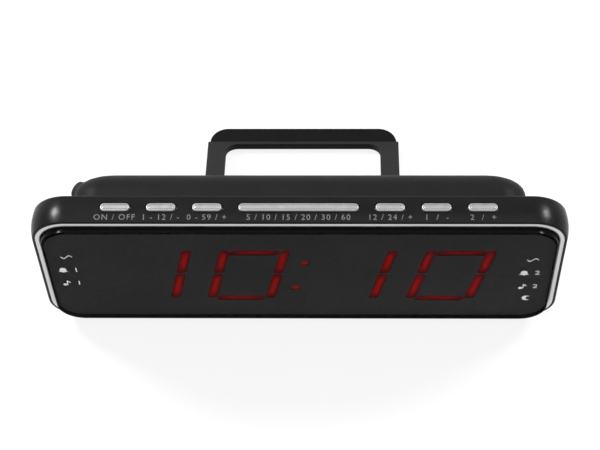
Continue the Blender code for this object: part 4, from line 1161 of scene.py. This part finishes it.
def make_skin(sizes):
    """The housing's skin: rings joined by faces, since no operator sweeps a ring that changes its shape."""
    rings = shell_rings(sizes)
    count = len(rings[0])
    last = count * (len(rings) - 1)
    faces = [tuple(range(last, last + count))]
    for start in range(0, last, count):
        for here in range(start, start + count):
            after = start + (here + 1 - start) % count
            faces.append((here, after, after + count, here + count))
    skin = bpy.data.objects.new("rear_shell", bpy.data.meshes.new("rear_shell"))
    skin.data.from_pydata([point for ring in rings for point in ring], [], faces)
    bpy.context.scene.collection.objects.link(skin)
    clean_mesh(skin)
    apply_modifier(skin, "SOLIDIFY", thickness=SHELL_WALL, offset=-1, use_even_offset=True)
    clean_mesh(skin)
    return skin


def make_lug():
    """One lug of the stand's hinge, in the rear frame from x 0."""
    base = LUG_ROUND + LUG_FLARE
    root = -SHELL_WALL / 2
    outline = [(root, PIVOT_UP - base), (0, PIVOT_UP - base)]
    outline += arc((PIVOT_OUT, PIVOT_UP), LUG_ROUND, -90, 90, LUG_STEPS)
    outline += [(0, PIVOT_UP + base), (root, PIVOT_UP + base)]
    lug = draw_plate("lug", [(0, y, z) for y, z in outline], (LUG_THICK, 0, 0))
    pick_edges(lug, lambda a, b: near(a.x, b.x) and max(a.y, b.y) > LUG_FOOT)
    bevel_picked(LUG_EDGE, LUG_EDGE_STEPS)
    return lug


def add_rod(name, radius, long, matrix):
    """A round rod along x, placed by a matrix."""
    clear_selection()
    bpy.ops.mesh.primitive_cylinder_add(
        vertices=ROD_SIDES, radius=radius, depth=long, rotation=(0, math.pi / 2, 0)
    )
    apply_transform()
    rod = name_new(name)
    rod.data.transform(matrix)
    return rod


def make_slot(height):
    """A cutter for one speaker slot, with round ends and a flared mouth."""
    half = math.sqrt(SLOT_REACH ** 2 - height ** 2)
    tall = SLOT_HEIGHT / 2
    low = (-half, -2 * SHELL_WALL, height - tall)
    high = (half, -SLOT_LIP, height + tall)
    slot = add_rounded_block("slot", low, high, 1, tall - END_FLAT, SLOT_STEPS)
    pick_faces(slot, looking(1))
    extrude((0, 2 * SLOT_LIP, 0))
    grown = (1 + 2 * SLOT_LIP / half, 1, 1 + 2 * SLOT_LIP / tall)
    bpy.ops.transform.resize(value=grown, center_override=(0, SLOT_LIP, height))
    close_mesh()
    return slot


def bay_block(name, margin, low, high, corner):
    """A block round the battery bay, in the rear frame."""
    across, up = BAY_HALF[0] + margin, BAY_HALF[1] + margin
    return add_rounded_block(
        name, (BAY_PLACE - across, low, -up), (BAY_PLACE + across, high, up), 1, corner, BAY_STEPS
    )


def gland_frame():
    """The cord gland's place on the rear left corner, with x along its axis."""
    back = BOX_SIDE_ROUND * (1 - math.sin(GLAND_TURN))
    side = BOX_SIDE_ROUND * (1 - math.cos(GLAND_TURN))
    place = (side - BOX_HALF, rear_depth(GLAND_UP) - back, GLAND_UP)
    return Matrix.Translation(place) @ Matrix.Rotation(math.pi - GLAND_TURN, 4, "Z")


def screw_places():
    """Middles of the case screws in the slab frame, in millimetres."""
    back = SLAB.inverted()
    places = []
    for number in range(1, SCREW_COUNT + 1):
        corners = [back @ vertex.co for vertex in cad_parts[f"case_screw_{number}"].data.vertices]
        places.append(sum(corners, Vector()) / len(corners))
    return places


def rear_cuts():
    """Cutters for the housing's openings, in the slab frame."""
    cuts = [bay_block("door_seat", DOOR_LAP + FIT, -SHELL_WALL, CUT_OUT, SEAT_CORNER)]
    cuts.append(bay_block("pocket", 0.0, -BAY_DEEP, CUT_OUT, SEAT_CORNER))
    cuts += [make_slot(SLOT_PITCH * (number - (SLOT_COUNT - 1) / 2)) for number in range(SLOT_COUNT)]
    for side in (-1, 1):
        place = Matrix.Translation((side * LUG_PLACES[1], PIVOT_OUT, PIVOT_UP))
        cuts.append(add_rod("pin_hole", PIN_HOLE, PIN_HOLE_LONG, place))
    for cut in cuts:
        cut.data.transform(REAR)
    cuts.append(add_rod("cord_hole", GLAND_HOLE, GLAND_HOLE_LONG, gland_frame()))
    for middle in screw_places():
        place = Matrix.Translation((middle.x, FLANGE_BACK, middle.z)) @ Matrix.Rotation(math.pi / 2, 4, "Z")
        cuts.append(add_rod("screw_hole", SCREW_HOLE, SCREW_HOLE_LONG, place))
    return cuts


class CLOCK_RADIO_OT_rear(bpy.types.Operator):
    """Makes the rear housing with its lugs, battery bay, speaker slots and cord hole."""

    bl_idname = "clock_radio.rear"
    bl_label = "Rear housing"

    def execute(self, context):
        shell = make_skin(sizes_in_mm())
        lug = make_lug()
        additions = [copy_piece(lug, "lug_copy", (place, 0, 0)) for place in LUG_PLACES]
        bpy.data.objects.remove(lug)
        margin = DOOR_LAP + BAY_WALL
        additions.append(bay_block("bay", margin, -BAY_DEEP - BAY_WALL, -SHELL_WALL / 2, BAY_CORNER))
        for piece in additions:
            piece.data.transform(REAR)
            combine(shell, piece, "UNION")
        for cut in rear_cuts():
            combine(shell, cut, "DIFFERENCE")
        complete(shell, "matt_abs", "cabinet", "cabinet_black", "rear_housing")
        return {"FINISHED"}


# Battery door
DOOR_BACK = 1.88
DOOR_CORNER = 0.9
DOOR_EDGE = 0.3
DOOR_STEPS = 3
GRIP_COUNT = 5
GRIP_PITCH = 1.8
GRIP_REACH = 6.0
GRIP_TOP = 20.0
GRIP_HALF = 0.45
GRIP_ROOT = 0.6
GRIP_ROUND = 0.35


class CLOCK_RADIO_OT_door(bpy.types.Operator):
    """Makes the battery door with its ribbed grip."""

    bl_idname = "clock_radio.door"
    bl_label = "Battery door"

    def execute(self, context):
        door = bay_block("battery_cover", DOOR_LAP, -DOOR_BACK, 0.0, DOOR_CORNER)
        pick_edges(door, at_level(1, 0))
        bevel_picked(DOOR_EDGE, DOOR_STEPS)
        for number in range(GRIP_COUNT):
            up = GRIP_TOP - number * GRIP_PITCH
            low = (BAY_PLACE - GRIP_REACH, -GRIP_ROOT, up - GRIP_HALF)
            high = (BAY_PLACE + GRIP_REACH, GRIP_HALF, up + GRIP_HALF)
            combine(door, add_rounded_block("rib", low, high, 0, GRIP_ROUND, DOOR_STEPS), "UNION")
        door.data.transform(REAR)
        complete(door, "matt_abs", "battery_door", "cabinet_black", "battery_door")
        return {"FINISHED"}


# Stand: its own frame has y along the legs from the hinge and z through their thickness
STAND_SLOPE = math.radians(30.93)
STAND_HINGE = REAR @ Vector((0, PIVOT_OUT, PIVOT_UP))
STAND = Matrix.Translation(STAND_HINGE) @ Matrix.Rotation(LEAN - STAND_SLOPE, 4, "X")
LEG_OUT = 46.75
LEG_IN = 37.75
LEG_REACH = 43.0
STAND_THICK = 3.6
STAND_EDGE = 0.5
STAND_EDGE_STEPS = 3
BAR_WIDE = 2.7
INNER_CORNER = 6.0
INNER_STEPS = 8
EYE_ROUND = 4.0
LIP_THICK = 3.2
LIP_REACH = 7.25
LIP_ROOT = -1.6
BEND_STEP = 0.65
LIP_STEP = 1.0
LIP_SIDE = 9.0
LIP_CORNER_STEPS = 12


def make_plate(name, outline, thick):
    """A flat plate with softened edges, from an outline in the stand's own frame."""
    plate = draw_plate(name, [(x, y, -STAND_THICK / 2) for x, y in outline], (0, 0, thick))
    pick_edges(plate, lambda a, b: near(a.z, b.z))
    bevel_picked(STAND_EDGE, STAND_EDGE_STEPS)
    return plate


def leg_outline():
    """Two legs and the bar between them, up to the bend."""
    bar = LEG_REACH - BAR_WIDE - INNER_CORNER
    across = LEG_IN - INNER_CORNER
    inner = arc((across, bar), INNER_CORNER, 0, 90, INNER_STEPS)
    inner += arc((-across, bar), INNER_CORNER, 90, 180, INNER_STEPS)
    end = LEG_REACH - BEND_STEP
    outer = [(LEG_OUT, 0), (LEG_OUT, end), (-LEG_OUT, end), (-LEG_OUT, 0)]
    return [*outer, (-LEG_IN, 0), *reversed(inner), (LEG_IN, 0)]


def lip_outline():
    """The lip past the bend, a step narrower than the legs, with wide rounded corners."""
    out = LEG_OUT - LIP_STEP
    quarter = arc((0, 0), 1, 0, 90, LIP_CORNER_STEPS)
    side = [(out - LIP_SIDE * (1 - x), LIP_REACH * y) for x, y in quarter]
    return [(out, LIP_ROOT), *side, *[(-x, y) for x, y in reversed(side)], (-out, LIP_ROOT)]


class CLOCK_RADIO_OT_stand(bpy.types.Operator):
    """Makes the fold-out stand with its hinge eyes and its bent foot lip."""

    bl_idname = "clock_radio.stand"
    bl_label = "Stand"

    def execute(self, context):
        bail = make_plate("stand_bail", leg_outline(), STAND_THICK)
        lip = make_plate("lip", lip_outline(), LIP_THICK)
        for plate in (bail, lip):
            dress(plate, finish("stand_abs"), finish("ribbed_abs"))
        # The lip takes the ribbed finish with its painted darker shade
        for face in lip.data.polygons:
            face.material_index = 1
        lip.data.transform(Matrix.Translation((0, LEG_REACH, 0)) @ Matrix.Rotation(STAND_SLOPE, 4, "X"))
        combine(bail, lip, "UNION")
        width = LEG_OUT - LEG_IN
        for side in (-1, 1):
            place = Matrix.Translation((side * (LEG_OUT + LEG_IN) / 2, 0, 0))
            combine(bail, add_rod("eye", EYE_ROUND, width, place), "UNION")
            combine(bail, add_rod("eye_hole", PIN_HOLE, 2 * width, place), "DIFFERENCE")
        bail.data.transform(STAND)
        settle(bail)
        hand_over(bail, "stand", "cabinet_black", "stand")
        return {"FINISHED"}


# Case screws
RECESS_HALF = 1.3
RECESS_THIN = 0.3
RECESS_DEEP = 0.9


class CLOCK_RADIO_OT_screws(bpy.types.Operator):
    """Makes the case screws with their cross recess."""

    bl_idname = "clock_radio.screws"
    bl_label = "Case screws"

    def execute(self, context):
        places = screw_places()
        first = places[0]
        model = copy_node("case_screw_1", "case_screw")
        top = max(vertex.co.y for vertex in model.data.vertices)
        for half, thin in ((RECESS_HALF, RECESS_THIN), (RECESS_THIN, RECESS_HALF)):
            low = (first.x - half, top - RECESS_DEEP, first.z - thin)
            high = (first.x + half, top + CUT_OUT, first.z + thin)
            combine(model, add_block("recess", low, high), "DIFFERENCE")
        for number, place in enumerate(places, 1):
            screw = copy_piece(model, f"cross_screw_{number}", place - first)
            complete(screw, "zinc_plated_steel", "cabinet", "steel", f"case_screw_{number}")
        bpy.data.objects.remove(model)
        return {"FINISHED"}


# Rubber parts: node, new piece, body and rounding in millimetres
RUBBER_PARTS = (
    ("foot_left", "left_rubber_foot", "cabinet", 0.3),
    ("foot_right", "right_rubber_foot", "cabinet", 0.3),
    ("stand_foot_pad", "stand_rubber_pad", "stand", 0.2),
    ("cord_gland", "gland_sleeve", "cabinet", 0.3),
)
RUBBER_ANGLE = math.radians(40.0)
RUBBER_STEPS = 2
GLAND_SEAT = 0.9
GLAND_SHORT = 0.45


def shorten_gland(gland):
    """Pushes the gland's outer end in, since little of it stands out beside the housing."""
    axis = gland_frame()
    back = axis.inverted()
    for vertex in gland.data.vertices:
        place = back @ vertex.co
        if place.x > GLAND_SEAT:
            place.x = GLAND_SEAT + (place.x - GLAND_SEAT) * GLAND_SHORT
            vertex.co = axis @ place


class CLOCK_RADIO_OT_rubber(bpy.types.Operator):
    """Rounds and finishes the feet, the stand's pad and the cord gland."""

    bl_idname = "clock_radio.rubber"
    bl_label = "Rubber parts"

    def execute(self, context):
        for node, name, body, width in RUBBER_PARTS:
            piece = copy_node(node, name)
            if node == "cord_gland":
                shorten_gland(piece)
            apply_modifier(
                piece, "BEVEL", width=width, segments=RUBBER_STEPS, limit_method="ANGLE",
                angle_limit=RUBBER_ANGLE, use_clamp_overlap=True, miter_outer="MITER_ARC",
            )
            complete(piece, "moulded_rubber", body, "rubber", node)
        return {"FINISHED"}


# Inner parts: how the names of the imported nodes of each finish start
INNER_FINISHES = {
    "zinc_plated_steel": (
        "stand_pin", "board_screw", "transformer_screw", "transformer_core", "transformer_bracket",
        "speaker_basket", "tuner_can", "battery_contact"),
    "dull_black_plastic": ("key_switch", "filter_capacitor"),
    "solder_resist": ("key_board", "display_board", "main_board"),
    "enamelled_copper": ("transformer_winding", "antenna_coil"),
    "sintered_ferrite": ("ferrite_rod", "speaker_magnet"),
    "pressed_paper": ("speaker_cone",),
}


class CLOCK_RADIO_OT_insides(bpy.types.Operator):
    """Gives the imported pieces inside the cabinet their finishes."""

    bl_idname = "clock_radio.insides"
    bl_label = "Inner parts"

    def execute(self, context):
        for material, starts in INNER_FINISHES.items():
            for name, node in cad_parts.items():
                if name.startswith(starts):
                    dress(node, finish(material))
        return {"FINISHED"}


# Stage: lamps by place, size and power
CAMERA_PLACE = (0.01938, -0.28778, 0.87636)
CAMERA_TURN = [math.radians(turn) for turn in (18.202, 1.212, 0.438)]
CAMERA_LENS = 113.75
CAMERA_NEAR = 0.01
SENSOR = 36.0
FLOOR_SIZE = 8.0
FLOOR_GLOW = 0.85
SKY_LIGHT = 0.55
WHITE = (1.0, 1.0, 1.0, 1.0)
LAMPS = {
    "left_rim_lamp": ((-0.78, 0.60, 0.85), 0.26, 25.0),
    "right_rim_lamp": ((0.88, 0.60, 0.80), 0.26, 16.0),
    "top_lamp": ((0.0, 0.2, 2.0), 1.4, 8.0),
}


def backdrop_rays(tree):
    """One where the camera sees the backdrop directly, in a reflection or through a clear piece."""
    path = add_node(tree, "ShaderNodeLightPath", {})
    seen = path.outputs["Is Camera Ray"]
    for kind in ("Is Glossy Ray", "Is Transmission Ray"):
        links = [(0, seen), (1, path.outputs[kind])]
        seen = add_node(tree, "ShaderNodeMath", {"operation": "MAXIMUM"}, links).outputs["Value"]
    return [("Value", seen)]


def light_floor():
    """The floor's finish, which shines where the backdrop is seen and still takes the object's shadow."""
    material = finish("white_paper")
    tree = material.node_tree
    light = add_node(tree, "ShaderNodeEmission", {"Color": WHITE, "Strength": 1.0})
    share = add_node(tree, "ShaderNodeMapRange", {"To Max": FLOOR_GLOW}, backdrop_rays(tree))
    mix = add_node(tree, "ShaderNodeMixShader", {}, [
        (0, share.outputs["Result"]),
        (1, tree.nodes["Principled BSDF"].outputs["BSDF"]),
        (2, light.outputs["Emission"]),
    ])
    tree.links.new(mix.outputs["Shader"], tree.nodes["Material Output"].inputs["Surface"])
    return material


def make_world():
    """An even white room, as bright as the backdrop where the camera sees it."""
    world = bpy.data.worlds.new("white_room")
    world.use_nodes = True
    tree = world.node_tree
    tree.nodes.clear()
    limits = {"To Min": SKY_LIGHT, "To Max": 1.0}
    strength = add_node(tree, "ShaderNodeMapRange", limits, backdrop_rays(tree)).outputs["Result"]
    sky = add_node(tree, "ShaderNodeBackground", {"Color": WHITE}, [("Strength", strength)])
    add_node(tree, "ShaderNodeOutputWorld", {}, [("Surface", sky.outputs["Background"])])
    return world


class CLOCK_RADIO_OT_stage(bpy.types.Operator):
    """Sets up the floor, the soft light and the camera."""

    bl_idname = "clock_radio.stage"
    bl_label = "Stage"

    def execute(self, context):
        scene = context.scene
        clear_selection()
        bpy.ops.mesh.primitive_plane_add(size=FLOOR_SIZE)
        floor = name_new("floor")
        dress(floor, light_floor())
        for name, (place, size, power) in LAMPS.items():
            bpy.ops.object.light_add(type="AREA", location=place)
            lamp = name_new(name)
            lamp.data.size = size
            lamp.data.energy = power
            lamp.rotation_euler = (-Vector(place)).to_track_quat("-Z", "Y").to_euler()
        scene.world = make_world()
        bpy.ops.object.camera_add(location=CAMERA_PLACE, rotation=CAMERA_TURN)
        camera = name_new("photo_camera")
        camera.data.lens = CAMERA_LENS
        camera.data.sensor_width = SENSOR
        camera.data.clip_start = CAMERA_NEAR
        scene.camera = camera
        scene.view_settings.view_transform = "Standard"
        return {"FINISHED"}


OPERATORS = (
    CLOCK_RADIO_OT_frame, CLOCK_RADIO_OT_trim, CLOCK_RADIO_OT_lens, CLOCK_RADIO_OT_buttons,
    CLOCK_RADIO_OT_legends, CLOCK_RADIO_OT_signs, CLOCK_RADIO_OT_display, CLOCK_RADIO_OT_rear,
    CLOCK_RADIO_OT_door, CLOCK_RADIO_OT_stand, CLOCK_RADIO_OT_screws, CLOCK_RADIO_OT_rubber,
    CLOCK_RADIO_OT_insides, CLOCK_RADIO_OT_stage,
)


class CLOCK_RADIO_PT_panel(bpy.types.Panel):
    """Lists the sizes, the colours and the pieces."""

    bl_label = "Clock radio"
    bl_idname = "CLOCK_RADIO_PT_panel"
    bl_space_type = "VIEW_3D"
    bl_region_type = "UI"
    bl_category = "Clock radio"

    def draw(self, context):
        for group in (context.scene.radio_sizes, context.scene.radio_colours):
            column = self.layout.column(align=True)
            for name in group.__annotations__:
                column.prop(group, name)
        column = self.layout.column(align=True)
        for operator in OPERATORS:
            column.operator(operator.bl_idname)


CLASSES = (RadioSizes, RadioColours, *OPERATORS, CLOCK_RADIO_PT_panel)


def register():
    for cls in CLASSES:
        bpy.utils.register_class(cls)
    bpy.types.Scene.radio_sizes = bpy.props.PointerProperty(type=RadioSizes)
    bpy.types.Scene.radio_colours = bpy.props.PointerProperty(type=RadioColours)


def unregister():
    del bpy.types.Scene.radio_colours
    del bpy.types.Scene.radio_sizes
    for cls in reversed(CLASSES):
        bpy.utils.unregister_class(cls)


def main():
    register()
    for operator in OPERATORS:
        group, name = operator.bl_idname.split(".")
        getattr(getattr(bpy.ops, group), name)()


if __name__ == "__main__":
    main()
